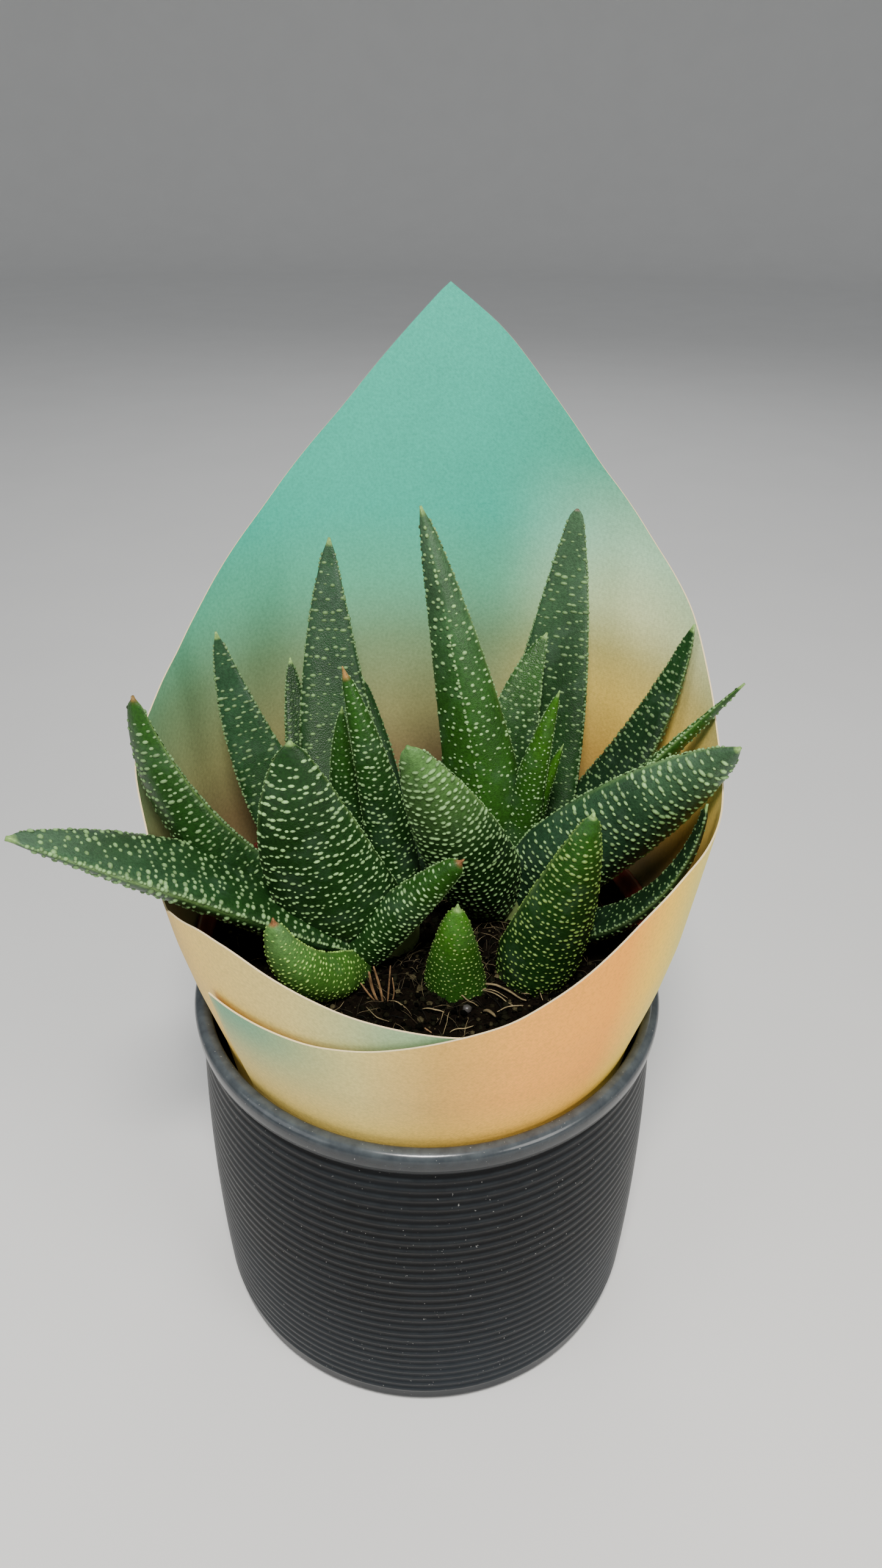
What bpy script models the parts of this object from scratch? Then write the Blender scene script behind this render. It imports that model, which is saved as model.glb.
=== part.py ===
"""Potted gasterhaworthia in a ribbed ceramic pot, wrapped in its paper sleeve.

The plant grows in a red-brown growing pot, which stands on the floor of the cover pot with the
sleeve pushed down between them. +Z is up, the front of the pot faces -Y, and the origin is the
middle of the cover pot's foot, on the surface that it stands on. Lengths below are in
millimetres and angles in degrees.
"""
import math
from collections import namedtuple

import bmesh
import bpy
from mathutils import Matrix, Vector, noise
from mathutils.bvhtree import BVHTree

MM = 0.001
FIT = 0.3                      # clearance between pieces that rest against each other

# Cover pot
POT_HEIGHT = 103.5
POT_TOP_RIB_RADIUS = 61.0
POT_BOTTOM_RIB_RADIUS = 61.7
POT_BELLY_RADIUS = 62.6
POT_MOUTH_RADIUS = 58.2
POT_LIP_RADIUS = 62.6
POT_LIP_HEIGHT = 6.5
POT_FOOT_RADIUS = 58.5
POT_FLOOR = 8.0
RIB_COUNT = 29
RIB_PITCH = 3.08
RIB_DEPTH = 0.7
TOP_RIB_HEIGHT = 93.3
POT_SEGMENTS = 26

# Growing pot
GROW_RIM_HEIGHT = 122.0
GROW_RIM_RADIUS = 60.4
GROW_COLLAR_HEIGHT = 9.0
GROW_HEIGHT = 113.7            # its foot stands on the cover pot's floor
GROW_NECK_RADIUS = 55.0
GROW_FOOT_RADIUS = 42.0
GROW_WALL = 1.2
GROW_SEGMENTS = 28
DRAIN_RADIUS = 4.5
DRAIN_COUNT = 6
DRAIN_CIRCLE = 30.0

# Potting soil
SOIL_HEIGHT = 116.0
SOIL_MOUND = 2.5
SOIL_ROUGHNESS = 1.3
SOIL_SEGMENTS = 26

# Paper sleeve: one cut sheet rolled into a flaring cone, with its ends lapped at the front
SLEEVE_PAPER = 0.6
SLEEVE_BOTTOM = 44.0
SLEEVE_OUTER_END = 224.5       # heading of the flap corner at the front left
SLEEVE_INNER_END = 656.0       # heading of the hidden end, one turn and a lap further round
SLEEVE_LAP = SLEEVE_INNER_END - SLEEVE_OUTER_END - 360.0
SLEEVE_LAP_GAP = 0.35          # air between the two layers at the rim
SLEEVE_LAP_EASE = 90.0         # degrees over which the outer layer comes in to the cone
SLEEVE_POINT = 449.0           # heading of the point at the back, in the same count
SLEEVE_COLUMNS = (28, 24)      # before and after the point
SLEEVE_MOUTH = ((55.3, 97.0), (56.0, 101.5), (56.6, 104.0))  # where the cover pot draws it in
SLEEVE_RIM_CLEAR = 0.9         # from the growing pot's rim to the paper
SLEEVE_PINCH = 1.0             # how much closer it lies at the rim than the cone above
SLEEVE_PINCH_HEIGHT = 14.0
FLARE = 0.145                  # outward lean above the rim, per unit of height
FLARE_LEFT = 0.02              # more of it on the left, and less on the right
FLARE_BACK = 0.05              # more of it at the back
FLARE_FRONT = 0.045            # less of it at the front
# Height of the free edge by degrees round from the point
SLEEVE_RIGHT_EDGE = (
    (0, 264), (10, 253), (20, 238), (31, 223), (47, 207), (61, 196), (71, 185), (82, 175),
    (90, 171), (100, 169), (126, 169), (137, 164.5), (150, 154.5), (162, 147), (172, 144),
    (188, 139), (199, 137), (225, 136.5))
SLEEVE_LEFT_EDGE = (
    (0, 264), (20, 233), (38, 210), (57, 190), (66, 182), (78, 175), (96, 168), (101, 157),
    (106, 148), (117, 145.5), (123, 150), (137, 156), (146, 156), (154, 153), (169, 147.5),
    (187, 143), (207, 140))

# Stems: name: (x, y, radius, height of the crown)
STEMS = {
    "left": (-11.0, -3.0, 9.0, 129.0),
    "right": (20.0, 13.0, 9.5, 130.0),
}
STEM_ROOT = 98.0
STEM_SIDES = 16

# Leaves: stem, distance of the root from the stem's middle, height of the root, heading, rise
# at the root, rise at the tip, turn of the heading along the leaf, roll about its own line,
# length, width, thickness, and how long it keeps its width before it tapers
Leaf = namedtuple("Leaf", "stem out root heading rise tip_rise sweep roll length width thick full")
LEAVES = {
    "leaf_heart_left": Leaf("left", 4, 127, 139, 62, 98, 0, 141, 56, 12, 7, 1.3),
    "leaf_inner_tall": Leaf("left", 5, 123, -10, 96, 106, 0, -66, 74, 13, 8, 1.6),
    "leaf_back_tall": Leaf("left", 5, 124, 125, 54, 68, -38, -6, 98, 26, 9.5, 1.4),
    "leaf_broad_front": Leaf("left", 5, 122, -132, 53, 90, 0, 52, 71, 29, 12, 2.5),
    "leaf_left_tall": Leaf("left", 5, 123, 156, 36, 79, -16, -40, 85, 21, 8, 1.4),
    "leaf_back_dark": Leaf("left", 5, 121, 94, 58, 60, 20, 10, 64, 18, 8, 1.5),
    "leaf_back_small": Leaf("left", 5, 119, 137, 38, 64, -34, 0, 76, 17, 7, 1.4),
    "leaf_mid_dark": Leaf("left", 5, 122, 66, 66, 42, -25, 0, 51, 14, 6, 1.4),
    "leaf_left_back": Leaf("left", 5, 122, -171, 19, 88, -8, 66, 91, 20, 11, 2.4),
    "leaf_far_left": Leaf("left", 5, 119, -160, 39.5, 31, 19, -5, 98.5, 28, 14, 2.6),
    "leaf_front_cross": Leaf(None, 0, 114.5, -22, 57, 50, 0, -95, 55, 12, 9, 2.2),
    "leaf_low_hook": Leaf(None, 0, 119.5, -120, 10, 90, -30, 75, 42, 14, 10, 1.9),
    "leaf_central_tall": Leaf("right", 2, 127, 165, 81, 74, 0, 100, 102, 22, 12, 1.25),
    "leaf_heart_right": Leaf("right", 3, 128, -20, 88, 75, 0, -81, 58, 11, 6, 1.3),
    "leaf_heart_small": Leaf("right", 4, 127, 3, 84, 70, 0, -100, 42, 7.5, 5, 1.3),
    "leaf_behind_tall": Leaf("right", 4, 125, 101, 86, 54, -60, 25, 68, 20, 8, 1.6),
    "leaf_front_blunt": Leaf("right", 5, 120, -115, 57, 62, -16, 45, 80, 22, 12, 2.5),
    "leaf_right_tall": Leaf("right", 5, 122, 65, 58, 76, 9, 0, 102, 26, 11, 1.6),
    "leaf_right_broad": Leaf("right", 5, 122, -17.5, 52.5, 47.5, -26, -66, 81.5, 27, 14, 2.2),
    "leaf_right_back": Leaf("right", 5, 123, 20.5, 40.5, 77.5, -3, 11, 85, 20, 9, 1.5),
    "leaf_right_thin": Leaf("right", 5, 121, 8, 53.5, 53.5, -29, -17, 84.5, 15, 7, 1.3),
    "leaf_low_right": Leaf("right", 5, 117, -50, 8, 87, 47.5, 3.5, 78.5, 15, 7, 1.6),
    "leaf_front_right": Leaf(None, 0, 110, -45, 70, 80, 8, -50, 65, 21, 14, 1.9),
    "leaf_young_front": Leaf(None, 0, 109, -118, 82, 96, 0, 20, 34, 16, 10, 1.7),
}
LOOSE_ROOTS = {
    "leaf_front_cross": (-21.2, -11.9),
    "leaf_low_hook": (-17.5, -16.6),
    "leaf_front_right": (24.5, -13.5),
    "leaf_young_front": (8.0, -20.0),
}
YOUNG_LEAVES = ("leaf_young_front", "leaf_low_hook", "leaf_front_right")
LEAF_SIDES = 10
TUBERCLE = 0.45                # how far a tubercle stands out of the leaf

GLAZE_BLUE_GREY = (0.035, 0.045, 0.06)
PLASTIC_RED = (0.19, 0.03, 0.02)
PEAT_BLACK = (0.012, 0.009, 0.007)
PAPER_SAND = (0.62, 0.50, 0.34)
LEAF_GREEN = (0.035, 0.115, 0.045)
YOUNG_GREEN = (0.10, 0.25, 0.04)
STEM_GREEN = (0.16, 0.22, 0.08)


def clear_scene():
    for obj in list(bpy.data.objects):
        bpy.data.objects.remove(obj, do_unlink=True)


def material(name, colour, roughness, metallic=0.0):
    mat = bpy.data.materials.get(name)
    if mat is None:
        mat = bpy.data.materials.new(name)
        mat.use_nodes = True
        shader = mat.node_tree.nodes["Principled BSDF"]
        shader.inputs["Base Color"].default_value = (*colour, 1.0)
        shader.inputs["Roughness"].default_value = roughness
        shader.inputs["Metallic"].default_value = metallic
    return mat


def tool_skin():
    return material("tool", (1.0, 1.0, 1.0), 0.5)


def add_object(name, bm, mat, smooth=True):
    bmesh.ops.recalc_face_normals(bm, faces=bm.faces)
    mesh = bpy.data.meshes.new(name)
    bm.to_mesh(mesh)
    bm.free()
    if smooth:
        mesh.shade_smooth()
        mesh.set_sharp_from_angle(angle=math.radians(50))
    obj = bpy.data.objects.new(name, mesh)
    obj.data.materials.append(mat)
    bpy.context.scene.collection.objects.link(obj)
    return obj


def join_rings(bm, lower, upper):
    count = len(lower)
    for i in range(count):
        j = (i + 1) % count
        bm.faces.new((lower[i], lower[j], upper[j], upper[i]))


def cap_ring(bm, ring, centre):
    middle = bm.verts.new(centre)
    for i in range(len(ring)):
        bm.faces.new((ring[i], ring[(i + 1) % len(ring)], middle))


def turned(profile, segments):
    """A body of revolution from (radius, height) points; the first and last ring are capped."""
    bm = bmesh.new()
    rings = []
    for radius, height in profile:
        ring = []
        for i in range(segments):
            angle = 2 * math.pi * i / segments
            point = (radius * math.cos(angle) * MM, radius * math.sin(angle) * MM, height * MM)
            ring.append(bm.verts.new(point))
        rings.append(ring)
    for lower, upper in zip(rings[:-1], rings[1:]):
        join_rings(bm, lower, upper)
    cap_ring(bm, rings[0], (0, 0, profile[0][1] * MM))
    cap_ring(bm, rings[-1], (0, 0, profile[-1][1] * MM))
    return bm


def cut(obj, cutter):
    """Takes the cutter's shape out of the object and removes the cutter."""
    uncut = obj.data.copy()
    for solver in ("EXACT", "MANIFOLD"):
        modifier = obj.modifiers.new("cut", "BOOLEAN")
        modifier.operation = "DIFFERENCE"
        modifier.object = cutter
        modifier.solver = solver
        with bpy.context.temp_override(object=obj, active_object=obj):
            bpy.ops.object.modifier_apply(modifier=modifier.name)
        keep_largest_body(obj)
        if is_closed(obj.data):
            break
        obj.data = uncut.copy()
    bpy.data.objects.remove(cutter, do_unlink=True)


def is_closed(mesh):
    """True for a mesh whose every edge has exactly two faces."""
    bm = bmesh.new()
    bm.from_mesh(mesh)
    closed = len(bm.faces) > 3 and all(len(edge.link_faces) == 2 for edge in bm.edges)
    bm.free()
    return closed


def keep_largest_body(obj):
    """Drops the loose scraps that a cut can leave."""
    bm = bmesh.new()
    bm.from_mesh(obj.data)
    bodies = []
    unseen = set(bm.verts)
    while unseen:
        body = set()
        edge_of_search = [unseen.pop()]
        while edge_of_search:
            vert = edge_of_search.pop()
            body.add(vert)
            for edge in vert.link_edges:
                other = edge.other_vert(vert)
                if other in unseen:
                    unseen.discard(other)
                    edge_of_search.append(other)
        bodies.append(body)
    bodies.sort(key=len)
    for body in bodies[:-1]:
        bmesh.ops.delete(bm, geom=list(body), context="VERTS")
    bm.to_mesh(obj.data)
    bm.free()


# Cover pot

def pot_wall_radius(height):
    """The slightly barrelled wall: top rib, belly and bottom rib lie on one parabola."""
    t = (TOP_RIB_HEIGHT - height) / ((RIB_COUNT - 1) * RIB_PITCH)
    drop = POT_BOTTOM_RIB_RADIUS - POT_TOP_RIB_RADIUS
    bulge = 4 * (POT_BELLY_RADIUS - (POT_TOP_RIB_RADIUS + POT_BOTTOM_RIB_RADIUS) / 2)
    return POT_TOP_RIB_RADIUS + drop * t + bulge * t * (1 - t)


def cover_pot():
    bottom_rib = TOP_RIB_HEIGHT - (RIB_COUNT - 1) * RIB_PITCH
    profile = [(POT_FOOT_RADIUS, 0.0), (POT_FOOT_RADIUS + 1.8, 1.2), (POT_FOOT_RADIUS + 2.6, 3.2)]
    for k in range(RIB_COUNT):
        crest = bottom_rib + k * RIB_PITCH
        groove = crest - RIB_PITCH / 2
        profile.append((pot_wall_radius(groove) - RIB_DEPTH, groove))
        profile.append((pot_wall_radius(crest), crest))
    lip_bottom = POT_HEIGHT - POT_LIP_HEIGHT
    lip_middle = (POT_LIP_RADIUS + POT_MOUTH_RADIUS) / 2
    lip_half = (POT_LIP_RADIUS - POT_MOUTH_RADIUS) / 2
    profile.append((pot_wall_radius(lip_bottom) - RIB_DEPTH, lip_bottom - 1.2))
    profile.append((POT_LIP_RADIUS - 0.4, lip_bottom + 0.6))
    for degrees in (0, 45, 90, 135, 180):
        angle = math.radians(degrees)
        profile.append((lip_middle + lip_half * math.cos(angle),
                        POT_HEIGHT - lip_half * (1 - math.sin(angle))))
    profile.append((POT_MOUTH_RADIUS, lip_bottom - 4.0))
    profile.append((POT_MOUTH_RADIUS - 0.8, POT_FLOOR + 8.0))
    profile.append((POT_MOUTH_RADIUS - 3.0, POT_FLOOR + 2.0))
    profile.append((POT_MOUTH_RADIUS - 8.0, POT_FLOOR))
    add_object("cover_pot", turned(profile, POT_SEGMENTS), material("glaze", GLAZE_BLUE_GREY, 0.35))


# Growing pot

def grow_wall_radius(height):
    """Outside radius of the tapered wall below the collar."""
    foot = GROW_RIM_HEIGHT - GROW_HEIGHT
    neck = GROW_RIM_HEIGHT - GROW_COLLAR_HEIGHT
    return GROW_FOOT_RADIUS + (GROW_NECK_RADIUS - GROW_FOOT_RADIUS) * (height - foot) / (neck - foot)


def growing_pot():
    foot = GROW_RIM_HEIGHT - GROW_HEIGHT
    neck = GROW_RIM_HEIGHT - GROW_COLLAR_HEIGHT
    inside = GROW_RIM_RADIUS - GROW_WALL - 1.0
    profile = [
        (GROW_FOOT_RADIUS - 2.0, foot),
        (GROW_FOOT_RADIUS, foot + 2.0),
        (grow_wall_radius(60.0), 60.0),
        (GROW_NECK_RADIUS, neck),
        (GROW_RIM_RADIUS - 1.9, neck + 0.8),
        (GROW_RIM_RADIUS - 1.4, neck + 1.6),
        (GROW_RIM_RADIUS - 0.9, GROW_RIM_HEIGHT - 2.4),
        (GROW_RIM_RADIUS, GROW_RIM_HEIGHT - 1.8),
        (GROW_RIM_RADIUS, GROW_RIM_HEIGHT - 0.5),
        (GROW_RIM_RADIUS - 0.6, GROW_RIM_HEIGHT),
        (GROW_RIM_RADIUS - GROW_WALL, GROW_RIM_HEIGHT - 0.3),
        (inside, GROW_RIM_HEIGHT - 2.4),
        (inside - 0.6, neck + 2.4),
        (GROW_NECK_RADIUS - GROW_WALL, neck - 0.6),
        (GROW_FOOT_RADIUS - GROW_WALL, foot + 3.5),
        (GROW_FOOT_RADIUS - GROW_WALL - 1.5, foot + 1.6),
    ]
    plastic = material("red_plastic", PLASTIC_RED, 0.5)
    pot = add_object("growing_pot", turned(profile, GROW_SEGMENTS), plastic)
    for k in range(DRAIN_COUNT):
        angle = 2 * math.pi * (k + 0.5) / DRAIN_COUNT
        drill = turned([(DRAIN_RADIUS, foot - 3.0), (DRAIN_RADIUS, foot + 5.0)], 12)
        hole = add_object("drain", drill, tool_skin())
        hole.location = (DRAIN_CIRCLE * math.cos(angle) * MM, DRAIN_CIRCLE * math.sin(angle) * MM, 0)
        bpy.context.view_layer.update()
        cut(pot, hole)


# Leaves and stems

def leaf_line(leaf, origin):
    """The leaf's middle line: points with the direction, the across and the up vectors."""
    heading = math.radians(leaf.heading)
    start = Vector((origin[0], origin[1], leaf.root))
    if leaf.stem:
        start += Vector((math.cos(heading), math.sin(heading), 0)) * leaf.out
    line = []
    point = start
    steps = leaf_steps(leaf)
    for i in range(steps + 1):
        t = i / steps
        rise = math.radians(leaf.rise + (leaf.tip_rise - leaf.rise) * t)
        turn = math.radians(leaf.heading + leaf.sweep * t)
        along = Vector((math.cos(rise) * math.cos(turn), math.cos(rise) * math.sin(turn), math.sin(rise)))
        if i:
            point = point + (along + line[-1][1]).normalized() * leaf.length / steps
        across = Vector((-math.sin(turn), math.cos(turn), 0))
        up = along.cross(across)
        spin = Matrix.Rotation(math.radians(leaf.roll), 3, along)
        line.append((point, along, spin @ across, spin @ up))
    return line


def leaf_steps(leaf):
    return 4 + round(leaf.length / 14)


def leaf_width(leaf, t):
    """Share of the full width: a narrower root, a full middle and a tapering end."""
    root = 0.62 + 0.38 * min(1.0, t / 0.25) ** 0.7
    taper = max(0.0, 1 - max(0.0, (t - 0.12) / 0.88) ** leaf.full)
    return root * (0.04 + 0.96 * taper ** 0.85)


def leaf_depth(t):
    root = 0.75 + 0.25 * min(1.0, t / 0.2)
    return root * max(0.10, (1 - t ** 2.0) ** 0.8)


def leaf_body(name, swell=0.0, tubercles=True):
    """A closed leaf with rows of tubercles; swell makes the same form larger, for a cutter."""
    leaf = LEAVES[name]
    origin = LOOSE_ROOTS.get(name) or STEMS[leaf.stem][:2]
    line = leaf_line(leaf, origin)
    bm = bmesh.new()
    rings = []
    for i, (point, along, across, up) in enumerate(line[:-1]):
        t = i / leaf_steps(leaf)
        half = leaf.width / 2 * leaf_width(leaf, t) + swell
        depth = leaf.thick * leaf_depth(t)
        ring = []
        for k in range(LEAF_SIDES):
            angle = 2 * math.pi * k / LEAF_SIDES
            side = math.cos(angle)
            face = math.sin(angle)
            lift = face * (0.36 * depth + swell) if face > 0 else face * (0.64 * depth + swell)
            ring.append(bm.verts.new((point + across * side * half + up * lift) * MM))
        rings.append(ring)
    first = line[0]
    last = line[-1]
    cap_ring(bm, rings[0], (first[0] - first[1] * swell) * MM)
    tip = bm.verts.new((last[0] + last[1] * swell) * MM)
    for k in range(LEAF_SIDES):
        bm.faces.new((rings[-1][k], rings[-1][(k + 1) % LEAF_SIDES], tip))
    bumps = []
    for i in range(len(rings) - 1):
        for k in range(LEAF_SIDES):
            j = (k + 1) % LEAF_SIDES
            face = bm.faces.new((rings[i][k], rings[i][j], rings[i + 1][j], rings[i + 1][k]))
            if (i + k) % 2 == 0:
                bumps.append(face)
    bmesh.ops.recalc_face_normals(bm, faces=bm.faces)
    if tubercles:
        for face in bumps:
            size = math.sqrt(face.calc_area()) / MM
            height = min(TUBERCLE, size * 0.2) * MM
            normal = face.normal.copy()
            poked = bmesh.ops.poke(bm, faces=[face])
            for vert in poked["verts"]:
                vert.co += normal * height
    return bm


def stem_body(name, swell=0.0):
    x, y, radius, crown = STEMS[name]
    root = STEM_ROOT - swell
    crown = crown + swell
    radius = radius + swell
    profile = [(radius * 0.55, root), (radius * 0.8, root + 4.0), (radius, root + 12.0),
               (radius, crown - radius * 0.55), (radius * 0.82, crown - radius * 0.2),
               (radius * 0.45, crown)]
    bm = turned(profile, STEM_SIDES)
    bmesh.ops.translate(bm, verts=bm.verts, vec=(x * MM, y * MM, 0))
    return bm


def bounds(obj):
    points = [vert.co for vert in obj.data.vertices]
    low = [min(p[axis] for p in points) for axis in range(3)]
    high = [max(p[axis] for p in points) for axis in range(3)]
    return low, high


def near(first, second):
    (low_a, high_a), (low_b, high_b) = bounds(first), bounds(second)
    return all(low_a[k] <= high_b[k] and low_b[k] <= high_a[k] for k in range(3))


def touching(first, second):
    trees = []
    for obj in (first, second):
        bm = bmesh.new()
        bm.from_mesh(obj.data)
        trees.append(BVHTree.FromBMesh(bm))
        bm.free()
    return bool(trees[0].overlap(trees[1]))


def plant():
    """Stems first, then the leaves from the heart outwards: each is trimmed to clear the last."""
    leaf_skin = material("leaf_green", LEAF_GREEN, 0.45)
    young_skin = material("young_green", YOUNG_GREEN, 0.45)
    for name in STEMS:
        add_object("stem_" + name, stem_body(name), material("stem_green", STEM_GREEN, 0.6))
    placed = []
    for name in LEAVES:
        obj = add_object(name, leaf_body(name), young_skin if name in YOUNG_LEAVES else leaf_skin)
        for stem in STEMS:
            cutter = add_object("cutter", stem_body(stem, FIT), tool_skin())
            if near(obj, cutter):
                cut(obj, cutter)
            else:
                bpy.data.objects.remove(cutter, do_unlink=True)
        for earlier in placed:
            cutter = add_object("cutter", leaf_body(earlier, TUBERCLE + FIT, False), tool_skin())
            if near(obj, cutter) and touching(obj, cutter):
                cut(obj, cutter)
            else:
                bpy.data.objects.remove(cutter, do_unlink=True)
        placed.append(name)


# Soil

def soil():
    foot = GROW_RIM_HEIGHT - GROW_HEIGHT
    neck = GROW_RIM_HEIGHT - GROW_COLLAR_HEIGHT
    wall = GROW_WALL + FIT
    profile = [
        (GROW_FOOT_RADIUS - wall - 1.8, foot + 1.6 + FIT),
        (GROW_FOOT_RADIUS - wall - 0.3, foot + 4.2),
        (GROW_NECK_RADIUS - wall - 0.2, neck - 0.6),
        (GROW_RIM_RADIUS - wall - 2.3, SOIL_HEIGHT - 1.0),
    ]
    for share in (0.9, 0.78, 0.64, 0.5, 0.36, 0.22, 0.09):
        profile.append((GROW_RIM_RADIUS * share, SOIL_HEIGHT + SOIL_MOUND * (1 - share)))
    bm = turned(profile, SOIL_SEGMENTS)
    for vert in bm.verts:
        if vert.co.z > (SOIL_HEIGHT - 0.5) * MM:
            vert.co.z += SOIL_ROUGHNESS * MM * noise.noise(vert.co * 140)
    body = add_object("potting_soil", bm, material("peat", PEAT_BLACK, 0.95), False)
    for stem in STEMS:
        cut(body, add_object("cutter", stem_body(stem, FIT), tool_skin()))
    for name in LEAVES:
        cutter = add_object("cutter", leaf_body(name, TUBERCLE + FIT, False), tool_skin())
        if touching(body, cutter):
            cut(body, cutter)
        else:
            bpy.data.objects.remove(cutter, do_unlink=True)


# Paper sleeve

def sleeve_edge(side):
    """Height of the free edge by degrees from the point at the back: + is the right side."""
    points = SLEEVE_RIGHT_EDGE if side >= 0 else SLEEVE_LEFT_EDGE
    side = abs(side)
    for (a, low), (b, high) in zip(points[:-1], points[1:]):
        if side <= b:
            return low + (high - low) * (side - a) / (b - a)
    return points[-1][1]


def sleeve_section(heading, lap):
    """Inner and outer (radius, height) points of the paper, from its bottom to its free edge.

    The paper runs up between the two pots, leaves the mouth of the cover pot, passes the rim
    of the growing pot and flares out above it. The flap lies on top of it where it laps.
    """
    edge = sleeve_edge(SLEEVE_POINT - heading)
    right = math.cos(math.radians(heading))
    back = math.sin(math.radians(heading))
    flare = FLARE - FLARE_LEFT * right + (FLARE_BACK if back > 0 else FLARE_FRONT) * back
    rim = GROW_RIM_RADIUS + SLEEVE_RIM_CLEAR
    path = [(grow_wall_radius(SLEEVE_BOTTOM) + 0.5, SLEEVE_BOTTOM)]
    path += SLEEVE_MOUTH
    path.append((rim, GROW_RIM_HEIGHT))
    for share in (0.2, 0.4, 0.7, 1.0):
        rise = (edge - GROW_RIM_HEIGHT) * share
        ease = SLEEVE_PINCH * min(1.0, rise / SLEEVE_PINCH_HEIGHT)
        path.append((rim + ease + flare * rise, GROW_RIM_HEIGHT + rise))
    inner = []
    outer = []
    for i, (radius, height) in enumerate(path):
        before = Vector(path[max(i - 1, 0)])
        after = Vector(path[min(i + 1, len(path) - 1)])
        along = (after - before).normalized()
        loose = lap * (SLEEVE_PAPER + SLEEVE_LAP_GAP + 0.02 * max(0.0, height - GROW_RIM_HEIGHT))
        for wall, offset in ((inner, loose), (outer, loose + SLEEVE_PAPER)):
            wall.append((radius + along.y * offset, height - along.x * offset))
    return inner, outer


def sleeve():
    before, after = SLEEVE_COLUMNS
    headings = [SLEEVE_OUTER_END + (SLEEVE_POINT - SLEEVE_OUTER_END) * c / before for c in range(before)]
    headings += [SLEEVE_POINT + (SLEEVE_INNER_END - SLEEVE_POINT) * c / after for c in range(after + 1)]
    bm = bmesh.new()
    columns = []
    for heading in headings:
        past_lap = heading - SLEEVE_OUTER_END - SLEEVE_LAP - 4
        lap = min(1.0, max(0.0, 1 - past_lap / SLEEVE_LAP_EASE))
        inner, outer = sleeve_section(heading, lap)
        angle = math.radians(heading)
        column = []
        for radius, height in inner + outer[::-1]:
            point = (radius * math.cos(angle) * MM, radius * math.sin(angle) * MM, height * MM)
            column.append(bm.verts.new(point))
        columns.append(column)
    count = len(columns[0])
    for first, second in zip(columns[:-1], columns[1:]):
        for k in range(count):
            j = (k + 1) % count
            bm.faces.new((first[k], first[j], second[j], second[k]))
    for column in (columns[0], columns[-1]):
        for k in range(count // 2 - 1):
            bm.faces.new((column[k], column[k + 1], column[count - 2 - k], column[count - 1 - k]))
    add_object("paper_sleeve", bm, material("printed_paper", PAPER_SAND, 0.6))


clear_scene()
cover_pot()
growing_pot()
plant()
soil()
sleeve()
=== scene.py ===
"""Potted gasterhaworthia in a ribbed ceramic pot and its paper sleeve: the looks.

Lengths are in millimetres and angles in degrees, as in the part's own source. Only the camera,
the lamps, and the noise and relief of the materials are in metres.
"""
import math
from collections import namedtuple

import bpy
import numpy as np
from mathutils import Matrix, Vector, noise


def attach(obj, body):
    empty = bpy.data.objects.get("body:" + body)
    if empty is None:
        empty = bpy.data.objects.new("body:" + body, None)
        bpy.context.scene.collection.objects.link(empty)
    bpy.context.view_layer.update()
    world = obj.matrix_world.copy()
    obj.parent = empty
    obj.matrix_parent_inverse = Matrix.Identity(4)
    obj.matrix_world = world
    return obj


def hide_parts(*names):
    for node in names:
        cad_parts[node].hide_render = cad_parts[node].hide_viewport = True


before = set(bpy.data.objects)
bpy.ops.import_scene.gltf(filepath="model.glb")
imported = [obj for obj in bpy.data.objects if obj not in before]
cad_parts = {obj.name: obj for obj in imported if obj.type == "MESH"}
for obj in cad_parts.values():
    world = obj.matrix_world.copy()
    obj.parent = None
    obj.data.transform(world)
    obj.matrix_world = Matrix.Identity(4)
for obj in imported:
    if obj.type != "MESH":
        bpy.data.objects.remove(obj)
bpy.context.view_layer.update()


# Camera, floor and light
#
# The photograph looks down at the pot from close by, a little above the point of the sleeve.
# Soft light comes from above and in front, so the leaves shade the paper to both sides.
MM = 0.001
CAMERA_PLACE = (0.00739, -0.21997, 0.30121)
CAMERA_DOWN = 0.56008  # radians, as the next two
CAMERA_YAW = -0.02042
CAMERA_ROLL = 0.014365
CAMERA_LENS = 24.52
CAMERA_SENSOR = 36.0
CAMERA_NEAR = 0.01

FLOOR_DARK = (0.74, 0.74, 0.73)
FLOOR_PALE = (0.78, 0.78, 0.77)
# How far the floor is flat, the radius of its bend and the height of the wall behind it
FLOOR_FLAT = 2400
FLOOR_BEND = 700
FLOOR_WALL = 1500.0
SKY = (0.93, 0.96, 1.0, 1.0)
SKY_STRENGTH = 0.30
# Name, place, what it shines at, width, watts and colour of each lamp
LAMPS = (
    ("key", (0.0, -0.36, 0.76), (0, 0, 0.13), 0.16, 7.2, (1.0, 0.97, 0.93)),
    ("left_fill", (-0.9, -0.5, 0.7), (0, 0, 0.1), 0.8, 3.4, (0.97, 0.98, 1.0)),
    ("right_fill", (0.8, -0.7, 0.55), (0, 0, 0.1), 0.6, 6.6, (1.0, 0.97, 0.92)),
    ("back_fill", (0.1, 1.0, 0.9), (0, 0, 0.15), 0.7, 2.5, (0.97, 0.98, 1.0)))


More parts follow.
